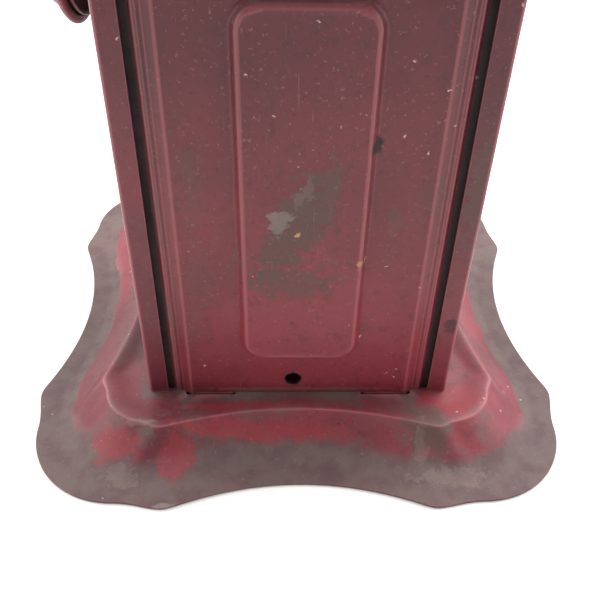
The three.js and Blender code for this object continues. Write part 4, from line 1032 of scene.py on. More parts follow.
@dataclass
class Base:
    """Scalloped base, pressed from one sheet: flat rim, hollow slope and plateau."""

    rise: float = 7.8
    hollow: float = 1.3  # how far the channel round the walls lies below the ridge
    sheet: float = 0.6
    half: float = 60.0
    ear_offset: float = 28.7
    dip: float = 6.5
    lobe_inset: float = 2.1
    lobe_radius: float = 19.4
    ridge_half: float = 44.8
    ridge_ear_offset: float = 30.9
    ridge_dip: float = 5.5
    ridge_lobe_inset: float = 1.8
    ridge_lobe_radius: float = 10.6
    rim: float = 4.5
    slot_y: tuple[float, float] = (-34.3, -31.3)
    tab_offset: float = 20.0
    tab_half: float = 4.3
    wall: tuple[float, float] = (32.6, 33.8)

    def outline(self, ear: float, offset: float, dip: float, inset: float, lobe: float,
                count: int = 384) -> np.ndarray:
        """Scalloped outline as points at equal shares of each quarter.

        Args:
            ear: Reach of the ears.
            offset: An ear's distance from the middle of its side.
            dip: Depth of the hollow between two ears.
            inset: How far a lobe's side lies behind the ears.
            lobe: Radius of a corner lobe.
            count: Number of points.

        Returns:
            count x 2 points.
        """
        middle = ear - inset - lobe
        side = [(ear - dip * (1 - t * t), offset * t) for t in np.linspace(0, 1, 24)]
        start = math.atan2((offset - middle) / 2, lobe)
        arc = [(middle + lobe * math.cos(a), middle + lobe * math.sin(a))
               for a in np.linspace(start + 0.16, math.pi / 4, 18)]
        bow = [np.array(arc[0]) * t + np.array(side[-1]) * (1 - t) for t in (0.3, 0.7)]
        bow = [p - np.array([0.32, 0.05]) for p in bow]
        eighth = [*side, *bow, *arc]
        quarter = eighth + [(y, x) for x, y in eighth[-2:0:-1]]
        whole = []
        for turn in range(4):
            c, s = [(1, 0), (0, 1), (-1, 0), (0, -1)][turn]
            whole += [(c * p[0] - s * p[1], s * p[0] + c * p[1]) for p in quarter]
        line = np.array(whole)
        for _ in range(2):  # eases the ears' tips
            line = 0.5 * line + 0.25 * (np.roll(line, 1, 0) + np.roll(line, -1, 0))
        closed = np.concatenate([line, line[:1]])
        run = np.concatenate([[0], np.cumsum(np.linalg.norm(np.diff(closed, axis=0), axis=1))])
        at = np.linspace(0, run[-1], count, endpoint=False)
        return np.stack([np.interp(at, run, closed[:, 0]), np.interp(at, run, closed[:, 1])], -1)

    def build(self, finishes: Finishes) -> None:
        """Builds and dresses the base."""
        outer = self.outline(self.half, self.ear_offset, self.dip, self.lobe_inset, self.lobe_radius)
        outer *= self.half / np.abs(outer).max()
        ridge = self.outline(self.ridge_half, self.ridge_ear_offset, self.ridge_dip,
                             self.ridge_lobe_inset, self.ridge_lobe_radius)
        foot = ridge + (outer - ridge) * (1 - self.rim / (self.half - self.ridge_half))
        ripple = Ripple(3, 0.22)
        levels: list[tuple[np.ndarray, float]] = []
        for share in (0.12, 0.3, 0.5, 0.54, 0.58, 0.62, 0.68, 0.76, 0.84, 0.87, 0.9, 0.93, 0.955, 0.975,
                      0.99):
            dish = ease((1.0 - share) / 0.13) * ease((share - 0.5) / 0.12)
            levels.append((ridge * share,
                           self.rise - 0.3 * (share > 0.6) - (self.hollow - 0.3) * float(dish)))
        drop = self.rise - self.sheet
        for t in np.concatenate([[0.0, 0.012, 0.03, 0.06], np.linspace(0.1, 1.0, 16)]):
            ease_in = 0.35 * math.exp(-t / 0.035)
            z = self.sheet + drop * (1 - t) ** 1.7 - ease_in
            levels.append((ridge + (foot - ridge) * t, z))
        for t in (0.12, 0.35, 0.6, 0.82, 0.95, 1.0):
            levels.append((foot + (outer - foot) * t, self.sheet))
        top = []
        under = []
        for line, z in levels:
            lift = ripple.at(line[:, 0], line[:, 1])
            soft = np.abs(lift) * 0.9 * (self.sheet < z < self.rise - 1.7)
            height = np.clip(z + soft, self.sheet, self.rise)
            top.append(np.column_stack([line, height]))
            under.append(np.column_stack([line, height - self.sheet]))
        rings = np.array(top + under[::-1])
        obj = shell("pressed_base", rings, [(0, 0, self.rise), (0, 0, self.rise - self.sheet)])
        low, high = self.rise - 3, self.rise + 2
        tools = [block("tool", (s * 19.7 - 5.7, self.slot_y[0], low), (s * 19.7 + 5.7, self.slot_y[1], high),
                       0.5) for s in (-1, 1)]
        a, b = self.wall
        for s in (-1, 1):
            u, v = s * self.tab_offset - self.tab_half, s * self.tab_offset + self.tab_half
            tools.append(block("tool", (u, a, low), (v, b, high)))
            tools.append(block("tool", (-b, u, low), (-a, v, high)))
            tools.append(block("tool", (a, u, low), (b, v, high)))
        cut(obj, [joined("tools", tools)])
        at = places(obj)
        soil = 0.22 + 0.75 * ease((3.6 - at[:, 2]) / 3.2)
        walls = np.maximum(np.abs(at[:, 0]), np.abs(at[:, 1]))
        soil = np.maximum(soil, 0.66 * (1 - ease((np.abs(walls - 34) - 0.3) / 3.0)) * (at[:, 2] > 5.6))
        # painted highlight: the left and right slopes are cleared of dirt so that their red reads lighter,
        # standing in for the pink sheen of light on them
        slope = ease((np.abs(at[:, 0]) - 41) / 4) * (at[:, 2] > 1.4) * ease((at[:, 1] + 44) / 8)
        soil = soil * (1 - slope) - 0.25 * slope
        paint(obj, "soil", soil)
        # painted shade: points below 5.4 mm inside the walls, under the lamp house, are darkened
        paint(obj, "gap", 0.8 * (at[:, 2] < 5.4) * (walls < 34.5))
        mark_edges(obj, np.where(at[:, 2] > 1, 0.6, 0.2))
        hand_over(obj, finishes.base, "housing", "red_tin", "base_plate", crease=50)


@dataclass
class LampHouse:
    """Folded wrapper: three walls, two strips beside the door, panels, vents and tabs."""

    half: float = 33.5
    inner: float = 32.9
    sheet: float = 0.6
    bend: float = 0.75  # outside radius of the folds
    foot: float = 6.5
    top: float = 142.0
    strip: float = 4.2
    panel_half: float = 20.0
    panel_low: float = 24.0
    panel_high: float = 128.0
    panel_corner: float = 6.0
    panel_depth: float = 1.2
    panel_slope: float = 1.2
    vents: int = 6
    vent_pitch: float = 8.0
    vent_radius: float = 2.0
    vent_z: float = 15.0
    hole_radius: float = 17.3
    axis_z: float = 100.0
    tab_offset: float = 20.0
    tab_half: float = 4.0

    def plan(self) -> tuple[np.ndarray, np.ndarray, np.ndarray, np.ndarray]:
        """Lines of the folded sheet, seen from above.

        Returns:
            Outer points, outward directions, the panel's coordinate along the wall and the
            number of the wall that each line lies on.
        """
        h, c = self.half, self.half - self.bend
        stops = (-self.panel_half, self.panel_half)
        plain = graded(-c, c, (-c, c), 0.8, 3.0, 2)
        fine = graded(-c, c, (*stops, -c, c), 0.4, 2.6, 2.0)
        edge = h - self.strip
        strip = np.array([0, 0.12, 0.5, 1.2, 2.2, 3.0, c - edge])
        lines: list[tuple[float, float, float, float, float, int]] = []
        for x in -(edge + strip):
            lines.append((x, -h, 0, -1, 99, 0))
        corners = [((-c, -c), 1.0), ((-c, c), 0.5), ((c, c), 0.0), ((c, -c), -0.5)]
        walls = [(-1, 0, plain, 1), (0, 1, fine, 2), (1, 0, fine, 3)]
        for k, ((cx, cy), turn) in enumerate(corners):
            begin = (turn + 0.5) * math.pi
            for a in np.linspace(begin, begin - math.pi / 2, 7)[1:-1]:
                lines.append((cx + self.bend * math.cos(a), cy + self.bend * math.sin(a),
                              math.cos(a), math.sin(a), 99, 9))
            if k < 3:
                nx, ny, run, wall = walls[k]
                for t in run:
                    x, y = (nx * h, t * -nx) if nx else (t, h)
                    lines.append((x, y, nx, ny, t, wall))
        for x in (edge + strip)[::-1]:
            lines.append((x, -h, 0, -1, 99, 0))
        table = np.array(lines)
        return table[:, :2], table[:, 2:4], table[:, 4], table[:, 5]

    def build(self, finishes: Finishes) -> None:
        """Builds and dresses the walls."""
        outer, away, along, wall = self.plan()
        heights = graded(self.foot, self.top, (self.foot, self.panel_low, self.panel_high, self.top),
                         0.45, 3.0, 2.4)
        u, z = np.meshgrid(along, heights, indexing="ij")
        which = wall[:, None] + 0 * z
        inside = rounded_rect(u, z, self.panel_half, self.panel_low, self.panel_high, self.panel_corner)
        relief = self.panel_depth * ease(inside / self.panel_slope) * ((which == 2) | (which == 3))
        flatness = ease((self.half - self.bend - np.abs(u)) / 6) * ease((z - self.foot) / 8) * \
            ease((self.top - z) / 8) * (which != 0) * (which != 9)
        hollow = -0.9 * np.abs(Ripple(11, 0.35).at(u + 60 * which, z)) * flatness
        shift = relief + hollow
        skin = np.concatenate([outer[:, None] + away[:, None] * shift[..., None], z[..., None]], -1)
        back = skin.copy()
        back[..., :2] -= away[:, None] * self.sheet
        obj = slab("lamp_house_walls", skin, back)
        beam = turned("tool", [(0, self.half - 6), (self.hole_radius, self.half - 6),
                               (self.hole_radius, self.half + 6), (0, self.half + 6)], 0.0, Axis.BEAM,
                      self.axis_z)
        cut(obj, [beam])
        punch = round_point(turned("tool", [(0, -3), (self.vent_radius, -3), (self.vent_radius, 3), (0, 3)],
                                   0.0, sides=32))
        punch.data.transform(Matrix.Rotation(math.pi / 2, 4, "X"))
        first = -(self.vents - 1) / 2 * self.vent_pitch
        repeat(obj, punch, Layout.ROW, Action.PIERCE, self.vents, finishes.house,
               (first, self.half, self.vent_z), step=(self.vent_pitch, 0, 0))
        tabs = []
        low, high = self.foot - 2.4, self.foot + 0.2
        for s in (-1, 1):
            a, b = s * self.tab_offset - self.tab_half, s * self.tab_offset + self.tab_half
            tabs.append(block("tab", (a, self.inner, low), (b, self.half, high), 0.2))
            tabs.append(block("tab", (-self.half, a, low), (-self.inner, b, high), 0.2))
            tabs.append(block("tab", (self.inner, a, low), (self.half, b, high), 0.2))
        obj = joined("lamp_house_walls_tabbed", [obj, *tabs])
        at = places(obj)
        soil = 0.10 + 0.5 * (1 - ease((at[:, 2] - self.foot) / 2.0)) + 0.25 * ease((at[:, 2] - 118) / 24)
        paint(obj, "soil", soil)
        # painted shade: the walls' inner faces, inside the lamp house, are darkened
        inside = np.maximum(np.abs(at[:, 0]), np.abs(at[:, 1])) < self.inner + 0.2
        paint(obj, "gap", 0.75 * inside)
        mark_edges(obj, 0.7)
        hand_over(obj, finishes.house, "housing", "red_tin", "body_wrap")
        for node in ("guide_rail_left", "guide_rail_right"):
            dress_node(node, finishes.tin)


@dataclass
class Door:
    """Lift-up door, pressed from one sheet: margins, two stepped shoulders and raised panels."""

    half: float = 31.9
    sheet: float = 0.6
    foot: float = 6.1
    top: float = 144.0
    margin: float = 32.2  # distance of the margins from the lantern's axis
    step: float = 1.5
    first: float = 28.1  # where the outer shoulder starts
    second: float = 25.8  # where the inner shoulder starts
    panel_half: float = 12.75
    panel_depth: float = 1.6
    panel_slope: float = 1.5
    panel_corner: float = 5.5
    panels: tuple[tuple[float, float], ...] = ((17.8, 95.4), (104.0, 132.0))
    peep: tuple[float, float, float] = (-1.3, 10.8, 1.8)
    tongue: tuple[float, float] = (14.3, 25.1)

    def relief(self, x: np.ndarray, z: np.ndarray) -> np.ndarray:
        """Height of the pressing in front of the margins.

        Args:
            x: Positions across the door.
            z: Heights.

        Returns:
            Heights of the relief in millimetres.
        """
        a = np.abs(x)
        out = 0.75 * ease((self.first - a) / 1.0)
        out -= 0.22 * np.exp(-(((a - 26.2) / 0.28) ** 2))
        out += 0.72 * ease((self.second - a) / 1.7)
        out += 0.10 * np.exp(-(((a - 23.9) / 0.4) ** 2)) - 0.05 * (a < 22.8)
        for low, high in self.panels:
            inside = rounded_rect(x, z, self.panel_half, low, high, self.panel_corner)
            out += self.panel_depth * ease(inside / self.panel_slope)
            out += 0.10 * np.exp(-(((inside - self.panel_slope - 0.25) / 0.4) ** 2))
        return out

    def build(self, finishes: Finishes) -> None:
        """Builds and dresses the door."""
        inner = self.panel_half - self.panel_slope
        stops = [s * v for s in (-1, 1) for v in (inner, self.panel_half, 24.8, 26.0, 27.0)]
        across = graded(-self.half, self.half, stops, 0.22, 1.1, 1.2)
        ends = [e for pair in self.panels for e in (pair[0], pair[0] + 3, pair[1] - 3, pair[1])]
        heights = graded(self.foot, self.top, [*ends, self.foot, self.top], 0.4, 1.8, 2.6)
        x, z = np.meshgrid(across, heights, indexing="ij")
        waves = Ripple(7, 0.10, (34.0, 17.0, 9.0)).at(x, z) * ease((23.5 - np.abs(x)) / 4)
        front = self.margin + self.relief(x, z) - np.abs(waves)
        front = np.minimum(front, 35.3)
        skin = np.stack([x, -front, z], -1)
        back = np.stack([x, -front + self.sheet, z], -1)
        obj = slab("pressed_door", skin, back)
        px, pz, radius = self.peep
        hole = turned("tool", [(0, -8), (radius, -8), (radius, 8), (0, 8)], 0.0, sides=40)
        hole.data.transform(Matrix.Translation((-AXIS_X * MM, 0, 0)))
        hole.data.transform(Matrix.Rotation(math.pi / 2, 4, "X"))
        hole.data.transform(Matrix.Translation(((px + AXIS_X) * MM, -self.margin * MM, pz * MM)))
        cut(obj, [hole])
        extra = []
        y = -(self.margin + self.step)
        for s in (-1, 1):
            a, b = sorted((s * self.tongue[0], s * self.tongue[1]))
            extra.append(block("tongue", (a + 0.6, y, self.foot - 2.2),
                               (b - 0.6, y + self.sheet, self.foot + 0.3),
                               0.25, upright=1))
        lip = rounded([(0, y + 0.4, self.top - 0.5), (0, y - 0.9, self.top - 0.5),
                       (0, y - 1.3, self.top - 1.0)],
                      0.5, 3)
        path = np.array([[p[1], p[2]] for p in lip])
        rings = []
        for i, (py, pz_) in enumerate(path):
            run = path[min(i + 1, len(path) - 1)] - path[max(i - 1, 0)]
            run /= np.linalg.norm(run)
            n = np.array([-run[1], run[0]]) * 0.3
            rings.append([(-9, py + n[0], pz_ + n[1]), (9, py + n[0], pz_ + n[1]),
                          (9, py - n[0], pz_ - n[1]), (-9, py - n[0], pz_ - n[1])])
        rings = np.array(rings)
        extra.append(shell("lip", rings, [rings[0].mean(0), rings[-1].mean(0)]))
        obj = joined("lift_up_door", [obj, *extra])
        at = places(obj)
        a = np.abs(at[:, 0])
        soil = 0.06 + 0.4 * (1 - ease((at[:, 2] - self.foot) / 1.6)) + 0.22 * ease((a - 25.9) / 0.6)
        soil += 0.12 * ease((-at[:, 0] - 16) / 4)
        paint(obj, "soil", soil)
        # painted shade: near black on the margins in the gap behind the strips, in the peep hole and on the
        # door's back
        hole = np.hypot(at[:, 0] - px, at[:, 2] - pz) < radius + 0.1
        behind = at[:, 1] > -self.margin - self.relief(at[:, 0], at[:, 2]) + 0.3
        gap = np.maximum.reduce([0.93 * ease((a - 27.75) / 0.4), 0.95 * hole, 0.7 * behind])
        paint(obj, "gap", gap)
        border = (a > self.half - 0.5) | (at[:, 2] > self.top - 1) | (at[:, 2] < self.foot + 0.2)
        mark_edges(obj, np.where(border, 0.9, 0.7))
        hand_over(obj, finishes.door, "door_body", "red_tin", "door")


@dataclass
class Roof:
    """Square cap with a folded edge, a hollow slope and a round neck."""

    lip_in: float = 34.0
    lip_out: float = 34.6
    lip_foot: float = 138.0
    top: float = 142.0
    sheet: float = 0.6
    shoulder: float = 30.6
    corner: float = 1.5
    neck: float = 19.0
    neck_foot: float = 156.0
    neck_top: float = 167.0
    doorway: float = 30.3
    doorway_back: float = -30.6
    margin_half: float = 32.3

    def square(self, half: float, corner: float) -> np.ndarray:
        """Square with round corners, as points at fixed directions.

        Args:
            half: Half of its width.
            corner: Radius of its corners.

        Returns:
            Points from one direction to the next, the same number at every size.
        """
        out = []
        for q in range(4):
            start = q * math.pi / 2
            sx, sy = [(1, 1), (-1, 1), (-1, -1), (1, -1)][q]
            for a in np.linspace(start, start + math.pi / 2, 9):
                out.append((sx * (half - corner) + corner * math.cos(a),
                            sy * (half - corner) + corner * math.sin(a)))
            run = half - corner
            for t in np.linspace(1, -1, 34)[1:-1]:
                out.append([(t * run, half), (-half, t * run), (-t * run, -half), (half, -t * run)][q])
        return np.array(out)

    def build(self, finishes: Finishes) -> None:
        """Builds and dresses the roof."""
        ledge = self.square(self.shoulder, self.corner)
        reach = np.linalg.norm(ledge, axis=1, keepdims=True)
        neck = ledge / reach * self.neck
        rise = self.neck_foot - self.top - self.sheet

        def slope(t: float, drop: float) -> tuple[np.ndarray, float]:
            return ledge + (neck - ledge) * t, self.top + self.sheet + rise * t ** 1.5 - drop

        lip = self.square(self.lip_out, self.corner)
        lip_in = self.square(self.lip_in, self.corner - 0.5)
        levels = [
            (self.square(self.lip_out - 0.2, self.corner), self.lip_foot),
            (lip, self.lip_foot + 0.25), (lip, self.lip_foot + 2.0), (lip, self.top - 0.1),
            (self.square(self.lip_out - 0.15, self.corner), self.top + 0.38),
            (self.square(self.lip_out - 0.5, self.corner), self.top + self.sheet),
            (self.square(self.shoulder + 1.6, self.corner), self.top + self.sheet),
            (self.square(self.shoulder + 0.5, self.corner), self.top + self.sheet),
        ]
        levels += [slope(t, 0) for t in np.linspace(0.0, 0.97, 18) ** 1.0]
        levels += [(neck * 1.004, self.neck_foot - 0.1), (neck, self.neck_foot + 0.5),
                   (neck, self.neck_top - 3)]
        levels += [(neck * s, self.neck_top - 3 + d) for s, d in
                   ((1.012, 0.5), (1.016, 1.0), (1.012, 1.5), (1.0, 2.0))]
        levels += [(neck, self.neck_top - 0.1), (neck * 0.985, self.neck_top)]
        inner = neck * ((self.neck - self.sheet) / self.neck)
        levels += [(inner * 1.004, self.neck_top), (inner, self.neck_top - 0.3),
                   (inner, self.neck_foot - self.sheet)]
        levels += [slope(t, self.sheet * 1.2) for t in np.linspace(0.97, 0.06, 16)]
        levels += [(self.square(self.shoulder - 0.6, self.corner), self.top),
                   (lip_in, self.top), (lip_in, self.lip_foot + 0.25),
                   (self.square(self.lip_in + 0.2, self.corner - 0.4), self.lip_foot)]
        wave = Ripple(5, 0.16, (30.0, 18.0))
        rings = []
        for line, z in levels:
            soft = wave.at(line[:, 0], line[:, 1]) * (self.top + 1.2 < z < self.neck_foot - 1.5)
            rings.append(np.column_stack([line, z - np.abs(soft)]))
        obj = shell("roof_cap", np.array(rings))
        door = block("tool", (-self.doorway, -40, self.lip_foot - 2),
                     (self.doorway, self.doorway_back, self.top + 8))
        inside = block("tool", (-self.margin_half, -self.half_wall(), self.top - 1),
                       (self.margin_half, self.doorway_back, self.top + 8))
        cut(obj, [door, inside])
        at = places(obj)
        soot = 0.25 + 0.45 * ease((at[:,
                                      2] - 148) / 10) + 0.3 * (1 - ease((np.abs(at[:, 2] - 143) - 0.2) / 2.5))
        paint(obj, "soil", soot)
        hand_over(obj, finishes.roof, "housing", "red_tin", "roof")

    def half_wall(self) -> float:
        """Distance of the walls' inner face from the axis."""
        return self.lip_in - 1.1


@dataclass
class Chimney:
    """Lift-off chimney: tube, flared cowl with windows, domed cap and light trap."""

    bore: float = 19.4
    radius: float = 20.0
    foot: float = 156.0
    top: float = 210.0
    bead: float = 0.9
    cowl: float = 27.0
    cowl_foot: float = 203.0
    band_foot: float = 216.0
    band_top: float = 231.0
    sheet: float = 0.6
    windows: int = 10
    window: float = 9.0
    cap_reach: float = 29.2
    cap_foot: float = 231.3
    cap_rise: float = 12.0
    knob: float = 3.2
    baffle: float = 21.0

    def tube(self, finishes: Finishes) -> None:
        """Builds the tube with its bead, its stiffening ring and its folded seam."""
        b, o = self.bead, self.radius
        profile = [
            (self.bore, self.foot), (o + b * 0.7, self.foot), (o + b, self.foot + b * 0.6),
            (o + b * 0.7, self.foot + b * 1.4), (o, self.foot + b * 1.8),
            (o, self.foot + 22), (o + 0.5, self.foot + 23), (o + 0.5, self.foot + 24), (o, self.foot + 25),
            (o, self.top), (self.bore, self.top),
        ]
        tube = turned("tube", profile, 0.5, sides=120, steps=4)
        seam = self.seam(self.foot + 2.2, self.cowl_foot + 4, o)
        obj = joined("chimney_pipe", [tube, seam])
        at = places(obj)
        paint(obj, "soil", 0.3 + 0.3 * ease((at[:, 2] - 185) / 20))
        hand_over(obj, finishes.roof, "chimney_body", "red_tin", "chimney_tube")

    def seam(self, low: float, high: float, radius: float) -> Object:
        """Folded seam up the back of a tube.

        Args:
            low: Its lower end.
            high: Its upper end.
            radius: Outside of the tube.

        Returns:
            The seam's strip.
        """
        rings = []
        for z in (low, low + 0.4, high - 0.4, high):
            ring = []
            inset = 0.25 if z in (low, high) else 0.0
            for t, r in ((-2, -0.25), (-1.9, 0.2), (-1.6, 0.42), (0, 0.46), (1.6, 0.42), (1.9, 0.2),
                         (2, -0.25)):
                a = math.pi / 2 + t / radius
                reach = radius + (r if r < 0 else max(r - inset, 0.02))
                ring.append((reach * math.cos(a), reach * math.sin(a), z))
            rings.append(ring)
        rings = np.array(rings)
        return shell("seam", rings, [rings[0].mean(0), rings[-1].mean(0)])

    def head(self, finishes: Finishes) -> None:
        """Builds the cowl with its band of windows."""
        r, t, big = self.radius + 0.3, self.sheet, self.cowl
        f, lo, hi = self.cowl_foot, self.band_foot, self.band_top
        profile = [
            (r, f), (r + t, f), (r + t, f + 5), (big - 2.2, lo - 3), (big - 0.2, lo), (big, lo + 0.8),
            (big - 0.35, lo + 1.6), (big - 0.35, hi - 1.6), (big, hi - 0.9), (big - 0.2, hi),
            (big - t - 0.2, hi), (big - t - 0.35, hi - 1.6), (big - t - 0.35, lo + 1.6),
            (big - t - 0.4, lo + 0.2), (big - 2.2 - t, lo - 2.4), (r, f + 5.4),
        ]
        obj = turned("chimney_head", profile, 1.2, sides=160, steps=4)
        mid = (lo + hi) / 2 + 0.5
        h = self.window / 2
        tool = round_point(block("tool", (big - 5, -h, mid - h), (big + 5, h, mid + h), 1.6, 4, upright=0))
        tool.data.transform(Matrix.Translation((0, 0, -mid * MM)))
        repeat(obj, tool, Layout.RING, Action.PIERCE, self.windows, finishes.roof, (0, 0, mid))
        at = places(obj)
        paint(obj, "soil", 0.35 + 0.3 * ease((at[:, 2] - lo) / 8))
        hand_over(obj, finishes.roof, "chimney_body", "red_tin", "chimney_cowl")

    def lid(self, finishes: Finishes) -> None:
        """Builds the domed cap with its knob."""
        big, z, k = self.cap_reach, self.cap_foot, self.knob
        peak = z + self.cap_rise
        edge = big - self.sheet - 0.6
        profile = [
            (0, z + 3), (9, z + 2.4), (edge, z), (edge, z - 1.9), (edge + 0.4, z - 2.2), (big - 0.4, z - 2.2),
            (big, z - 1.8), (big, z + 0.5), (big - 1.6, z + 1.9), (big - 4, z + 3), (big * 0.55, z + 6.2),
            (big * 0.25, peak - 3.2), (k * 0.5, peak - 1.6), (k * 0.45, peak - 0.6),
            (k * 0.85, peak + k * 0.4),
            (k, peak + k), (k * 0.8, peak + k * 1.6), (k * 0.3, peak + k * 1.97), (0, peak + k * 2),
        ]
        obj = turned("cowl_lid", profile, 2.6, sides=128, steps=5)
        at = places(obj)
        reach = np.hypot(at[:, 0], at[:, 1])
        paint(obj, "soil", 0.4 + 0.35 * (1 - ease((reach - 4) / 12)) * (at[:, 2] > z))
        hand_over(obj, finishes.roof, "chimney_body", "red_tin", "cowl_cap")

    def trap(self, finishes: Finishes) -> None:
        """Builds the light trap: a dished disc on three feet."""
        z, big, t = self.band_foot + 0.3, self.baffle, self.sheet
        disc = turned("disc", [(0, z + 2), (big * 0.57, z + 1.4), (big, z), (big, z + t),
                               (big * 0.57, z + 2.1),
                               (0, z + 2.7)], 0.8, sides=96)
        foot = round_point(block("foot", (big * 0.7, -2, z + 0.1), (self.cowl - t - 0.5, 2, z + t), 0.4))
        foot.data.transform(Matrix.Translation((0, 0, -z * MM)))
        repeat(disc, foot, Layout.RING, Action.STAND, 3, finishes.tin, (0, 0, z), start=60)
        disc.name = "light_trap"
        hand_over(disc, finishes.tin, "chimney_body", "raw_tin", "chimney_baffle")

    def build(self, finishes: Finishes) -> None:
        """Builds and dresses the chimney."""
        self.tube(finishes)
        self.head(finishes)
        self.lid(finishes)
        self.trap(finishes)


@dataclass
class SlideStage:
    """Slide drum with its rivets and springs, and the condenser behind it."""

    axis_z: float = 100.0
    wall: float = 33.5
    wall_in: float = 32.9
    face: float = 34.1
    sheet: float = 0.6
    drum: float = 19.6
    flange: float = 3.4
    front: float = 41.1
    gate: float = 14.5
    slot: tuple[float, float] = (36.1, 40.4)
    slot_half: float = 17.5
    spring_width: float = 2.2
    spring_thick: float = 0.3
    spring_lean: float = 4.6
    condenser: float = 16.2
    condenser_x: float = 31.3

    def stage(self, finishes: Finishes) -> None:
        """Builds the slotted drum."""
        big, t = self.drum, self.sheet
        profile = [
            (big - t, self.wall), (big + self.flange, self.wall), (big + self.flange, self.face),
            (big, self.face), (big, self.front), (self.gate, self.front), (self.gate, self.front - t),
            (big - t, self.front - t),
        ]
        obj = turned("slide_drum", profile, 0.28, Axis.BEAM, self.axis_z, 128)
        h = self.slot_half
        tool = block("tool", (-self.slot[1], -40, self.axis_z - h), (-self.slot[0], 40, self.axis_z + h), 0.5,
                     3, upright=1)
        cut(obj, [tool])
        at = places(obj)
        paint(obj, "soil", 0.3 + 0.4 * (1 - ease((np.abs(at[:, 0] + 34.5)) / 3)))
        hand_over(obj, finishes.optics, "housing", "red_tin", "stage_drum")

    def rivets(self, finishes: Finishes) -> None:
        """Builds the four rivets in the drum's flange."""
        ring = self.drum + self.flange / 2
        profile = [(0, -0.45), (0.8, -0.45), (0.8, 0.1), (1.5, 0.1), (1.42, 0.55), (0.9, 1.0), (0, 1.1)]
        first = self.rivet(profile)
        seed = self.rivet(profile)
        for shape in (first, seed):
            shape.data.transform(Matrix.Translation((0, 0, ring * MM)))
        turn = Matrix.Rotation(math.radians(45), 4, "X")
        first.data.transform(turn)
        first.data.transform(Matrix.Translation(((AXIS_X - self.face) * MM, 0, self.axis_z * MM)))
        repeat(first, seed, Layout.RING, Action.STAND, 4, finishes.brass, (-self.face, 0, self.axis_z),
               (1, 0, 0), 45)
        keep = first.data
        first.data = self.without_twins(keep)
        first.name = "stage_rivets"
        hand_over(first, finishes.brass, "housing", "brass", *[f"stage_rivet_{i}" for i in range(1, 5)])

    def rivet(self, profile: Sequence) -> Object:
        """One rivet round the origin, its head towards -X."""
        obj = round_point(turned("rivet", profile, 0.25, sides=20))
        obj.data.transform(Matrix.Rotation(-math.pi / 2, 4, "Y"))
        return obj

    def without_twins(self, mesh: Mesh) -> Mesh:
        """A mesh without faces that lie on each other.

        Args:
            mesh: The mesh.

        Returns:
            A mesh that has each face once.
        """
        seen, faces = set(), []
        points = [tuple(v.co) for v in mesh.vertices]
        keys = [tuple(round(c * 1e6) for c in p) for p in points]
        for face in mesh.polygons:
            key = tuple(sorted(keys[i] for i in face.vertices))
            if key not in seen:
                seen.add(key)
                faces.append(tuple(face.vertices))
        used = sorted({i for f in faces for i in f})
        place = {old: new for new, old in enumerate(used)}
        out = bpy.data.meshes.new(mesh.name)
        out.from_pydata([points[i] for i in used], [], [tuple(place[i] for i in f) for f in faces])
        out.update()
        return out

    def springs(self, finishes: Finishes) -> None:
        """Builds the two fingers that press a slide forward."""
        edge = self.slot_half - 0.5
        end = math.sqrt((self.drum - self.sheet - 0.15) ** 2 - edge ** 2)
        x0, lean = self.wall + 0.3 + self.spring_thick / 2, self.spring_lean
        line = rounded([(-x0, end), (-x0, end - 1.2), (-x0 - lean + 0.2, -end + 3.4),
                        (-x0 - lean, -end + 1.6), (-x0 - lean + 0.8, -end + 0.4)], 1.0, 4)
        section = flat_section(self.spring_thick, self.spring_width, 0.08)
        for side, body in ((1, "upper"), (-1, "lower")):
            z = self.axis_z + side * (edge - self.spring_width / 2)
            path = np.array([(p[0], p[1], z) for p in line])
            obj = swept(f"slide_finger_{body}", path, np.array([0.0, 0.0, 1.0]), section)
            hand_over(obj, finishes.steel, f"{body}_spring", "spring_steel", f"slide_spring_{body}")

    def lens(self, finishes: Finishes) -> None:
        """Builds the condenser: its cell, its lens and its wire."""
        r, o = self.condenser + 0.2, self.condenser + 0.8
        back, lens_back = self.wall_in - self.sheet, self.wall - 7.6
        cell = turned("condenser_ring", [
            (r, lens_back), (o, lens_back), (o, back), (o + 4, back), (o + 4, self.wall_in),
            (o, self.wall_in),
            (o, self.wall), (r - 1.4, self.wall), (r - 1.4, self.wall - self.sheet),
            (r, self.wall - self.sheet),
        ], 0.22, Axis.BEAM, self.axis_z, 112)
        hand_over(cell, finishes.brass, "housing", "brass", "condenser_cell")
        glass = turned("condenser_glass", lens_profile(self.condenser, 7.0, 2.0, self.condenser_x), 0.15,
                       Axis.BEAM, self.axis_z, 112)
        hand_over(glass, finishes.lens, "housing", "lens_glass", "condenser_lens")
        wire = split_ring("condenser_spring_ring", self.condenser - 0.4, 0.45, self.condenser_x - 1.75,
                          self.axis_z)
        hand_over(wire, finishes.steel, "housing", "spring_steel", "condenser_wire")

    def build(self, finishes: Finishes) -> None:
        """Builds and dresses the slide stage."""
        self.stage(finishes)
        self.rivets(finishes)
        self.springs(finishes)
        self.lens(finishes)


def lens_profile(radius: float, thick: float, edge: float, middle: float) -> list:
    """Profile of a lens with two equal curved faces.

    Args:
        radius: Its radius.
        thick: Thickness on the axis.
        edge: Thickness at its rim.
        middle: Its place along the beam.

    Returns:
        (radius, distance) points, both ends on the axis.
    """
    bulge = (thick - edge) / 2
    share = np.linspace(0, 1, 14)
    side = [(radius * t, edge / 2 + bulge * (1 - t * t)) for t in share]
    return [(r, middle - h) for r, h in side] + [(r, middle + h) for r, h in side[::-1]]


def split_ring(name: str, radius: float, wire: float, x: float, z: float) -> Object:
    """Springy wire ring with a gap at its top.

    Args:
        name: The piece's name.
        radius: Radius of the ring.
        wire: Radius of the wire.
        x: Its place along the beam.
        z: Height of the beam.

    Returns:
        The ring.
    """
    turn = np.linspace(0.25, 2 * math.pi - 0.25, 84)
    path = np.stack([-x + 0 * turn, np.sin(turn) * radius, z + np.cos(turn) * radius], -1)
    return swept(name, path, np.array([1.0, 0.0, 0.0]), round_section(wire))


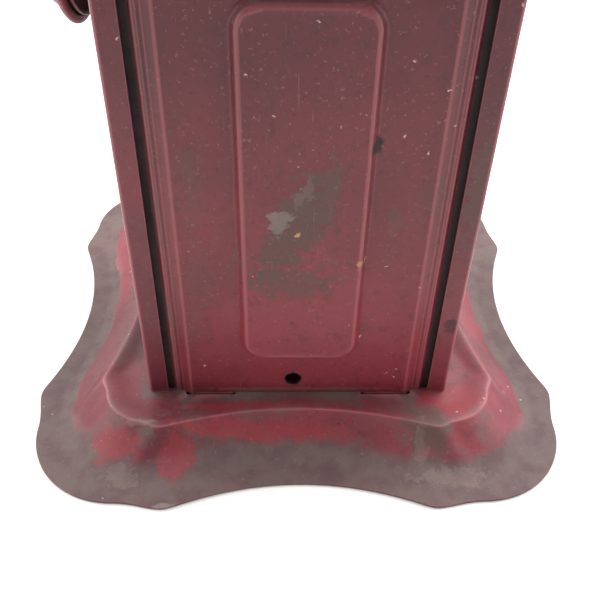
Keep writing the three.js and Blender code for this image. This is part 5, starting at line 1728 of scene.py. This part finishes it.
@dataclass
class Objective:
    """Focusing lens tube: collar, sleeve, draw tube, lens and milled bezel."""

    axis_z: float = 100.0
    collar_x: float = 41.4
    collar: float = 21.2
    cone_x: float = 46.2
    sleeve: float = 15.6
    sleeve_end: float = 68.0
    bore: float = 15.0
    draw: float = 14.7
    draw_bore: float = 14.1
    draw_length: float = 36.0
    draw_end: float = 88.0
    reach: float = 91.0
    bezel: float = 16.2
    stop: float = 9.5
    teeth: int = 96

    def fixed(self, finishes: Finishes) -> None:
        """Builds the collar and the sleeve."""
        big, x, r = self.collar, self.collar_x, self.sleeve + 0.3
        collar = turned("dished_collar", [
            (big - 1.4, x), (big - 0.5, x), (big, x + 0.5), (big, x + 1.1), (big - 0.5, x + 1.6),
            (big - 1.3, x + 1.75), (big - 2.6, x + 2.9), (r + 1.2, self.cone_x), (r, self.cone_x + 0.4),
            (r, self.cone_x - 0.5), (r + 0.6, self.cone_x - 0.7), (big - 2.8, x + 2.2), (big - 1.6, x + 0.8),
        ], 0.5, Axis.BEAM, self.axis_z, 128, 4)
        paint(collar, "soil", 0.35 + 0.0 * places(collar)[:, 0])
        hand_over(collar, finishes.optics, "housing", "red_tin", "lens_collar")
        o, i, end = self.sleeve, self.bore, self.sleeve_end
        sleeve = turned("focus_sleeve", [
            (i, x), (o, x), (o, x + 12), (o + 0.25, x + 12.5), (o + 0.25, x + 13.3), (o, x + 13.8),
            (o, end - 2.2), (o + 0.6, end - 1.7), (o + 0.8, end - 0.95), (o + 0.6, end - 0.2), (o, end),
            (i, end),
        ], 0.3, Axis.BEAM, self.axis_z, 128)
        hand_over(sleeve, finishes.brass, "housing", "brass", "lens_sleeve")

    def moving(self, finishes: Finishes) -> None:
        """Builds what slides: draw tube, lens, wire and bezel."""
        start, end = self.draw_end - self.draw_length, self.draw_end
        tube = turned("draw_pipe", [
            (self.draw_bore, start), (self.draw, start), (self.draw, end), (self.draw_bore, end),
        ], 0.15, Axis.BEAM, self.axis_z, 112)
        hand_over(tube, finishes.brass, "objective", "brass", "draw_tube")
        lens = turned("objective_glass", lens_profile(self.draw_bore - 0.1, 5.0, 1.6, end - 3.6), 0.1,
                      Axis.BEAM, self.axis_z, 112)
        hand_over(lens, finishes.lens, "objective", "lens_glass", "objective_lens")
        wire = split_ring("objective_spring_ring", self.draw_bore - 0.55, 0.4, end - 5.2, self.axis_z)
        hand_over(wire, finishes.steel, "objective", "spring_steel", "objective_wire")
        o, r = self.bezel - 0.28, self.draw + 0.15
        bezel = turned("milled_bezel", [
            (r, end - 5), (o, end - 5), (o, end - 4.2), (o + 0.02, end - 4.1), (o + 0.02, self.reach - 2.1),
            (o, self.reach - 2.0), (o, self.reach - 0.9), (o - 0.7, self.reach),
            (self.stop + 2.2, self.reach),
            (self.stop + 1.5, self.reach - 0.2), (self.stop, self.reach - 1.5), (self.stop, end + 0.3),
            (r, end + 0.3),
        ], 0.25, Axis.BEAM, self.axis_z, 144)
        tooth = round_point(block("tooth", (-(self.reach - 2.2), -0.3, o - 0.12),
                                  (-(end - 4.0), 0.3, self.bezel),
                                  0.16, 2, upright=0))
        tooth.data.transform(Matrix.Translation((end * MM, 0, 0)))
        repeat(bezel, tooth, Layout.RING, Action.STAND, self.teeth, finishes.brass, (-end, 0, self.axis_z),
               (1, 0, 0))
        hand_over(bezel, finishes.brass, "objective", "brass", "objective_bezel")

    def build(self, finishes: Finishes) -> None:
        """Builds and dresses the objective."""
        self.fixed(finishes)
        self.moving(finishes)


@dataclass
class OilLamp:
    """Oil lamp: tin font, brass burner, wick, winder, gallery, glass and reflector."""

    axis_z: float = 100.0
    radius: float = 20.0
    foot: float = 8.1
    top: float = 50.1
    shoulder: float = 5.0
    wall: float = 0.8
    neck: float = 9.2
    neck_top: float = 54.1
    filler: float = 15.3
    filler_radius: float = 3.2
    cap_radius: float = 4.2
    gallery: float = 15.0
    gallery_z: float = 62.0
    gallery_height: float = 9.0
    wick_half: float = 6.0
    wick_thick: float = 1.8
    wick_foot: float = 22.1
    wick_top: float = 88.0
    tube_top: float = 85.5
    winder_x: float = 3.2
    winder_z: float = 57.5
    winder_reach: float = 24.5
    knob: float = 4.6
    knob_thick: float = 2.4
    glass_foot: float = 68.0
    glass_top: float = 136.0
    mirror_x: float = 19.5
    mirror: float = 19.5
    mirror_depth: float = 5.0
    strap: float = 7.0

    def font(self, finishes: Finishes) -> None:
        """Builds the font with its filler spout and stopper."""
        big, w, n, s = self.radius, self.wall, self.neck, self.shoulder
        z0, z1, zn = self.foot, self.top, self.neck_top
        shell_profile = [
            (0, z0), (big - 0.6, z0), (big, z0 + 0.5), (big, z0 + 1.4), (big - 0.35, z0 + 2.0),
            (big - 0.35, z1 - s - 1.4), (big, z1 - s - 0.8), (big, z1 - s), (big - 1.2, z1 - s + 2.2),
            (n + 2, z1),
            (n, z1 + 0.5), (n, zn), (n - w, zn), (n - w, z1 - w), (big - 1.8, z1 - s + 1.4),
            (big - w - 0.2, z1 - s - 0.4), (big - w - 0.2, z0 + w), (0, z0 + w),
        ]
        obj = turned("oil_font", shell_profile, 0.8, sides=104, steps=4)
        at = self.filler * math.sqrt(0.5)
        spout = turned("spout", [(self.filler_radius, z1 - s + 2), (self.filler_radius + w, z1 - s + 2),
                                 (self.filler_radius + w, z1 + 1), (self.filler_radius, z1 + 1)], 0.2,
                                 sides=40)
        hole = turned("tool", [(0, z1 - s - 6), (self.filler_radius + 0.1, z1 - s - 6),
                               (self.filler_radius + 0.1, z1 + 4), (0, z1 + 4)], 0.0, sides=40)
        move = Matrix.Translation((-at * MM, -at * MM, 0))
        spout.data.transform(move)
        hole.data.transform(move)
        cut(obj, [hole])
        obj = joined("oil_font_with_spout", [obj, spout])
        hand_over(obj, finishes.tin, "lamp", "raw_tin", "lamp_font")
        r, z = self.filler_radius - 0.3, z1 + 1
        cap = turned("filler_stopper", [
            (0, z - 3), (r - 0.2, z - 3), (r, z - 2.6), (r, z + 0.3), (self.cap_radius, z + 0.3),
            (self.cap_radius, z + 1.6), (1.6, z + 2), (1.2, z + 2.4), (1.8, z + 3.1), (1.4, z + 3.8),
            (0, z + 3.9),
        ], 0.3, sides=48)
        cap.data.transform(move)
        hand_over(cap, finishes.brass, "filler_body", "brass", "filler_cap")

    def handle(self, finishes: Finishes) -> None:
        """Builds the loop of strip on the font."""
        wall_top = self.top - self.shoulder
        mid, half = (self.foot + wall_top) / 2, (wall_top - self.foot) / 2 - 6.5
        y = -self.radius - 0.3
        line = rounded([(y - 0.35, mid - half), (y - 0.35, mid - half + 1.6), (y - 3.85, mid - half + 4.6),
                        (y - 3.85, mid + half - 4.6), (y - 0.35, mid + half - 1.6), (y - 0.35, mid + half)],
                        2.4, 5)
        path = np.array([(0, p[0], p[1]) for p in line])
        obj = swept("font_handle", path, np.array([1.0, 0.0, 0.0]), flat_section(0.7, 6.0, 0.2))
        hand_over(obj, finishes.tin, "lamp", "raw_tin", "lamp_handle")

    def burner(self, finishes: Finishes) -> None:
        """Builds the burner's cap with the wick tube."""
        n, top = self.neck + 0.3, self.neck_top + 0.3
        low = self.top + 1.4
        cap = turned("burner_cap", [
            (0, top), (n, top), (n, low), (n + 0.8, low), (n + 1, low + 0.3), (n + 1, top + 0.6),
            (n + 0.5, top + 1.1), (4, top + 1.6), (0, top + 1.6),
        ], 0.35, sides=80)
        hw, ht, w = self.wick_half + 0.3, self.wick_thick / 2 + 0.3, 0.6
        slot = block("tool", (-ht, -hw, top - 14), (ht, hw, self.wick_top + 4), 0.5)
        tube = block("wick_tube", (-ht - w, -hw - w, top - 8), (ht + w, hw + w, self.tube_top), 0.8, 3)
        bore = block("tool", (-ht, -hw, top - 12), (ht, hw, self.tube_top + 2), 0.4, 3)
        window = block("tool", (0, -3.4, self.winder_z - 2.6), (ht + w + 3, 3.4, self.winder_z + 2.6), 0.6, 3,
                       upright=0)
        other = block("tool", (0, -3.4, self.winder_z - 2.6), (ht + w + 3, 3.4, self.winder_z + 2.6), 0.6, 3,
                      upright=0)
        cut(cap, [slot, other])
        cut(tube, [bore, window])
        obj = joined("brass_burner", [cap, tube])
        hand_over(obj, finishes.brass, "lamp", "brass", "burner")
        t, w = self.wick_thick / 2, self.wick_half
        wick = block("flat_wick", (-t, -w, self.wick_foot), (t, w, self.wick_top), 0.5, 3)
        hand_over(wick, finishes.cotton, "wick_body", "cotton", "wick")

    def winder(self, finishes: Finishes) -> None:
        """Builds the winder's shaft with its spur wheels, and the milled knob."""
        x, z = self.winder_x, self.winder_z
        rod_profile = [(0, -5), (0.8, -5), (0.8, self.winder_reach), (0, self.winder_reach)]
        shaft = self.laid(turned("shaft", rod_profile, 0.2, sides=28), x, z)
        wheels = []
        for y in (-2.0, 2.0):
            count = 16
            ring = []
            for i in range(count):
                a, r = i * 2 * math.pi / count, 2.0 if i % 2 else 1.44
                ring.append((x + r * math.cos(a), z + r * math.sin(a)))
            rings = np.array([[(px, y + d, pz) for px, pz in ring] for d in (-0.5, 0.5)])
            wheels.append(shell("wheel", rings, rings.mean(1)))
        obj = joined("wick_winder_shaft", [shaft, *wheels])
        hand_over(obj, finishes.brass, "winder", "brass", "winder_shaft")
        k, t = self.knob - 0.3, self.knob_thick
        end = self.winder_reach
        knob = self.laid(turned("milled_winder_knob", [
            (0.85, end - t), (k - 0.3, end - t), (k, end - t + 0.3), (k, end - 0.3), (k - 0.3, end),
            (k - 1.4, end), (k - 1.8, end - 0.4), (1.6, end - 0.4), (1.3, end), (0.85, end),
        ], 0.15, sides=72), x, z)
        tooth = block("tooth", (-0.22, -(end - 0.35), k - 0.1), (0.22, -(end - t + 0.35), self.knob), 0.12, 2,
                      upright=1)
        tooth = round_point(tooth)
        tooth.data.transform(Matrix.Translation((0, end * MM, 0)))
        repeat(knob, tooth, Layout.RING, Action.STAND, 36, finishes.brass, (x, -end, z), (0, 1, 0))
        hand_over(knob, finishes.brass, "winder", "brass", "winder_knob")

    def laid(self, obj: Object, x: float, z: float) -> Object:
        """Lays an upright turned piece along -Y through a point."""
        round_point(obj)
        obj.data.transform(Matrix.Rotation(math.pi / 2, 4, "X"))
        obj.data.transform(Matrix.Translation(((x + AXIS_X) * MM, 0, z * MM)))
        return obj

    def top_parts(self, finishes: Finishes) -> None:
        """Builds the pierced gallery and the glass."""
        z, big, inner = self.gallery_z, self.gallery, 6.2
        high = z + self.gallery_height
        bowl = turned("pierced_gallery", [
            (inner, z - 1.2), (inner + 2, z - 1.2), (big - 1.5, z + 2.4), (big, z + 4.4), (big, high - 0.5),
            (big - 0.15, high), (big - 0.6, high), (big - 0.6, z + 4.6), (big - 2, z + 3.2),
            (inner + 2, z - 0.4),
            (inner, z - 0.4),
        ], 0.4, sides=120)
        hole = round_point(turned("tool", [(0, -3), (0.85, -3), (0.85, 3), (0, 3)], 0.0, sides=16))
        hole.data.transform(Matrix.Rotation(math.pi / 2, 4, "Y"))
        hole.data.transform(Matrix.Translation((big * MM, 0, 0)))
        repeat(bowl, hole, Layout.RING, Action.PIERCE, 26, finishes.brass, (0, 0, z + 6.6))
        vent = round_point(turned("tool", [(0, -4), (1.5, -4), (1.5, 4), (0, 4)], 0.0, sides=20))
        vent.data.transform(Matrix.Translation((11 * MM, 0, 0)))
        repeat(bowl, vent, Layout.RING, Action.PIERCE, 10, finishes.brass, (0, 0, z + 1.2))
        hub = block("hub", (-4.2, -8.4, z - 1.2), (4.2, 8.4, z - 0.4), 1.0, 3)
        slot = block("tool", (-2.1, -7.2, z - 3), (2.1, 7.2, z + 3), 0.8, 3)
        cut(hub, [slot])
        seat = turned("seat", [(10.0, self.glass_foot - 0.9), (big - 0.62, self.glass_foot - 0.9),
                               (big - 0.62, self.glass_foot - 0.3), (10.0, self.glass_foot - 0.3)], 0.15)
        obj = joined("lamp_gallery_pierced", [bowl, hub, seat])
        hand_over(obj, finishes.brass, "lamp", "brass", "lamp_gallery")
        z0, z1 = self.glass_foot, self.glass_top
        outer = [(11.6, z0), (11.6, z0 + 5), (13.4, z0 + 12), (14.2, z0 + 20), (13.0, z0 + 29),
                 (10.4, z0 + 42),
                 (9.6, z0 + 54), (9.6, z1)]
        inner_side = [(r - 1.0, h) for r, h in outer[::-1]]
        glass = turned("bellied_lamp_glass", [*outer, *inner_side], 5.0, sides=96, steps=6)
        hand_over(glass, finishes.chimney_glass, "glass_body", "lamp_glass", "lamp_glass", crease=60)

    def mirror_parts(self, finishes: Finishes) -> None:
        """Builds the dished reflector and its bracket."""
        x, big, deep = self.mirror_x, self.mirror, self.mirror_depth
        share = np.linspace(0, 1, 16)
        front = [(big * t, -(x + deep * (1 - t * t))) for t in share]
        back = [(r, h - 0.6) for r, h in front[::-1]]
        dish = turned("dished_reflector", [*front, *back], 0.2, Axis.BEAM, self.axis_z, 112)
        hand_over(dish, finishes.silver, "lamp", "silver", "reflector", crease=60)
        low = self.top + 3
        near, far = self.neck + 1.6, x + deep + 1.2
        line = rounded([(near + 0.4, low), (near + 4, low), (far, low + 9), (far, self.axis_z)], 2.5, 5)
        path = np.array([(p[0], 0, p[1]) for p in line])
        strap = swept("reflector_strap", path, np.array([0.0, 1.0, 0.0]), flat_section(0.6, self.strap, 0.15))
        hand_over(strap, finishes.tin, "lamp", "raw_tin", "reflector_bracket")

    def build(self, finishes: Finishes) -> None:
        """Builds and dresses the lamp."""
        self.font(finishes)
        self.handle(finishes)
        self.burner(finishes)
        self.winder(finishes)
        self.top_parts(finishes)
        self.mirror_parts(finishes)


@dataclass
class Studio:
    """Plain pale floor, soft light and the camera."""

    eye: tuple[float, float, float] = (-4.51, -150.71, 136.63)
    pitch: float = 0.71819
    yaw: float = 0.03699
    roll: float = -0.02628
    lens: float = 45.98
    floor_half: float = 6.0  # metres
    front_glow: float = 0.36  # brightness of the surroundings in front of the door
    back_glow: float = 0.85  # and behind the lantern

    def floor(self) -> None:
        """Lays the floor."""
        h = self.floor_half
        mesh = bpy.data.meshes.new("floor")
        mesh.from_pydata([(-h, -h, -0.0002), (h, -h, -0.0002), (h, h, -0.0002), (-h, h, -0.0002)], [],
                         [(0, 1, 2, 3)])
        obj = bpy.data.objects.new("floor", mesh)
        bpy.context.scene.collection.objects.link(obj)
        material, tree, shader, where = start_finish("matt_white_board")
        grain = clouds(tree, where, 2.0, 0.3, 0.7, 0.06, 0.0)
        rough = add(tree, "ShaderNodeMath", {0: grain, 1: 0.85}, 0, operation="ADD")
        tree.links.new(rough, shader.inputs["Roughness"])
        shader.inputs["Base Color"].default_value = linear("F6F5F3")
        mesh.materials.append(material)

    def light(self, name: str, at: Sequence, aim: Sequence, size: tuple[float, float], glow: float) -> None:
        """Hangs one soft light.

        Args:
            name: Its name.
            at: Its place in metres.
            aim: The point that it faces.
            size: Its width and height in metres.
            glow: Brightness of its face.
        """
        data = bpy.data.lights.new(name, "AREA")
        data.shape = "RECTANGLE"
        data.size, data.size_y = size
        data.energy = glow * math.pi * size[0] * size[1]
        obj = bpy.data.objects.new(name, data)
        obj.location = at
        obj.visible_camera = False
        obj.rotation_euler = (Vector(aim) - Vector(at)).to_track_quat("-Z", "Y").to_euler()
        bpy.context.scene.collection.objects.link(obj)

    def lights(self) -> None:
        """Sets the surroundings and the lights."""
        world = bpy.data.worlds.new("white_surroundings")
        bpy.context.scene.world = world
        world.use_nodes = True
        tree = world.node_tree
        tree.nodes.clear()
        way = add(tree, "ShaderNodeTexCoord", out="Generated")
        ahead = add(tree, "ShaderNodeSeparateXYZ", {0: way}, 1)
        level = add(tree, "ShaderNodeMapRange", {"Value": ahead, "From Min": -0.75, "From Max": 0.1,
                                                 "To Min": self.front_glow, "To Max": self.back_glow}, 0,
                    interpolation_type="SMOOTHSTEP")
        glow = add(tree, "ShaderNodeBackground", {"Color": (1, 1, 1, 1), "Strength": level}, 0)
        add(tree, "ShaderNodeOutputWorld", {"Surface": glow})
        self.light("soft_top", (0.0, 0.30, 0.85), (0, 0.05, 0.0), (1.0, 1.0), 2.3)
        for name, side in (("left", -1), ("right", 1)):
            self.light(f"soft_{name}", (side * 0.75, -0.10, 0.25), (0, 0, 0.05), (0.5, 0.5), 2.5)
            self.light(f"wash_{name}", (side * 0.45, 0.30, 0.45), (side * 0.25, 0.2, 0), (0.4, 0.4), 7.0)

    def camera(self) -> None:
        """Sets up the camera."""
        data = bpy.data.cameras.new("camera")
        data.sensor_width = 36
        data.lens = self.lens
        data.clip_start = 0.01
        obj = bpy.data.objects.new("camera", data)
        bpy.context.scene.collection.objects.link(obj)
        ahead = Vector((math.sin(self.yaw) * math.cos(self.pitch), math.cos(self.yaw) * math.cos(self.pitch),
                        -math.sin(self.pitch)))
        level = Vector((math.cos(self.yaw), -math.sin(self.yaw), 0))
        down = ahead.cross(level)
        right = level * math.cos(self.roll) + down * math.sin(self.roll)
        up = level * math.sin(self.roll) - down * math.cos(self.roll)
        turn = Matrix((right, up, -ahead)).transposed().to_4x4()
        turn.translation = Vector(((self.eye[0] + AXIS_X) * MM, self.eye[1] * MM, self.eye[2] * MM))
        obj.matrix_world = turn
        bpy.context.scene.camera = obj

    def build(self) -> None:
        """Builds the studio."""
        self.camera()
        self.floor()
        self.lights()
        view = bpy.context.scene.view_settings
        view.view_transform = "Standard"
        view.look = "None"
        log.info("studio built")


def main() -> None:
    """Builds the studio and every sub-assembly in order."""
    studio = Studio()
    studio.build()
    finishes = Finishes()
    for part in (Base(), LampHouse(), Door(), Roof(), Chimney(), SlideStage(), Objective(), OilLamp()):
        part.build(finishes)


if __name__ == "__main__":
    main()
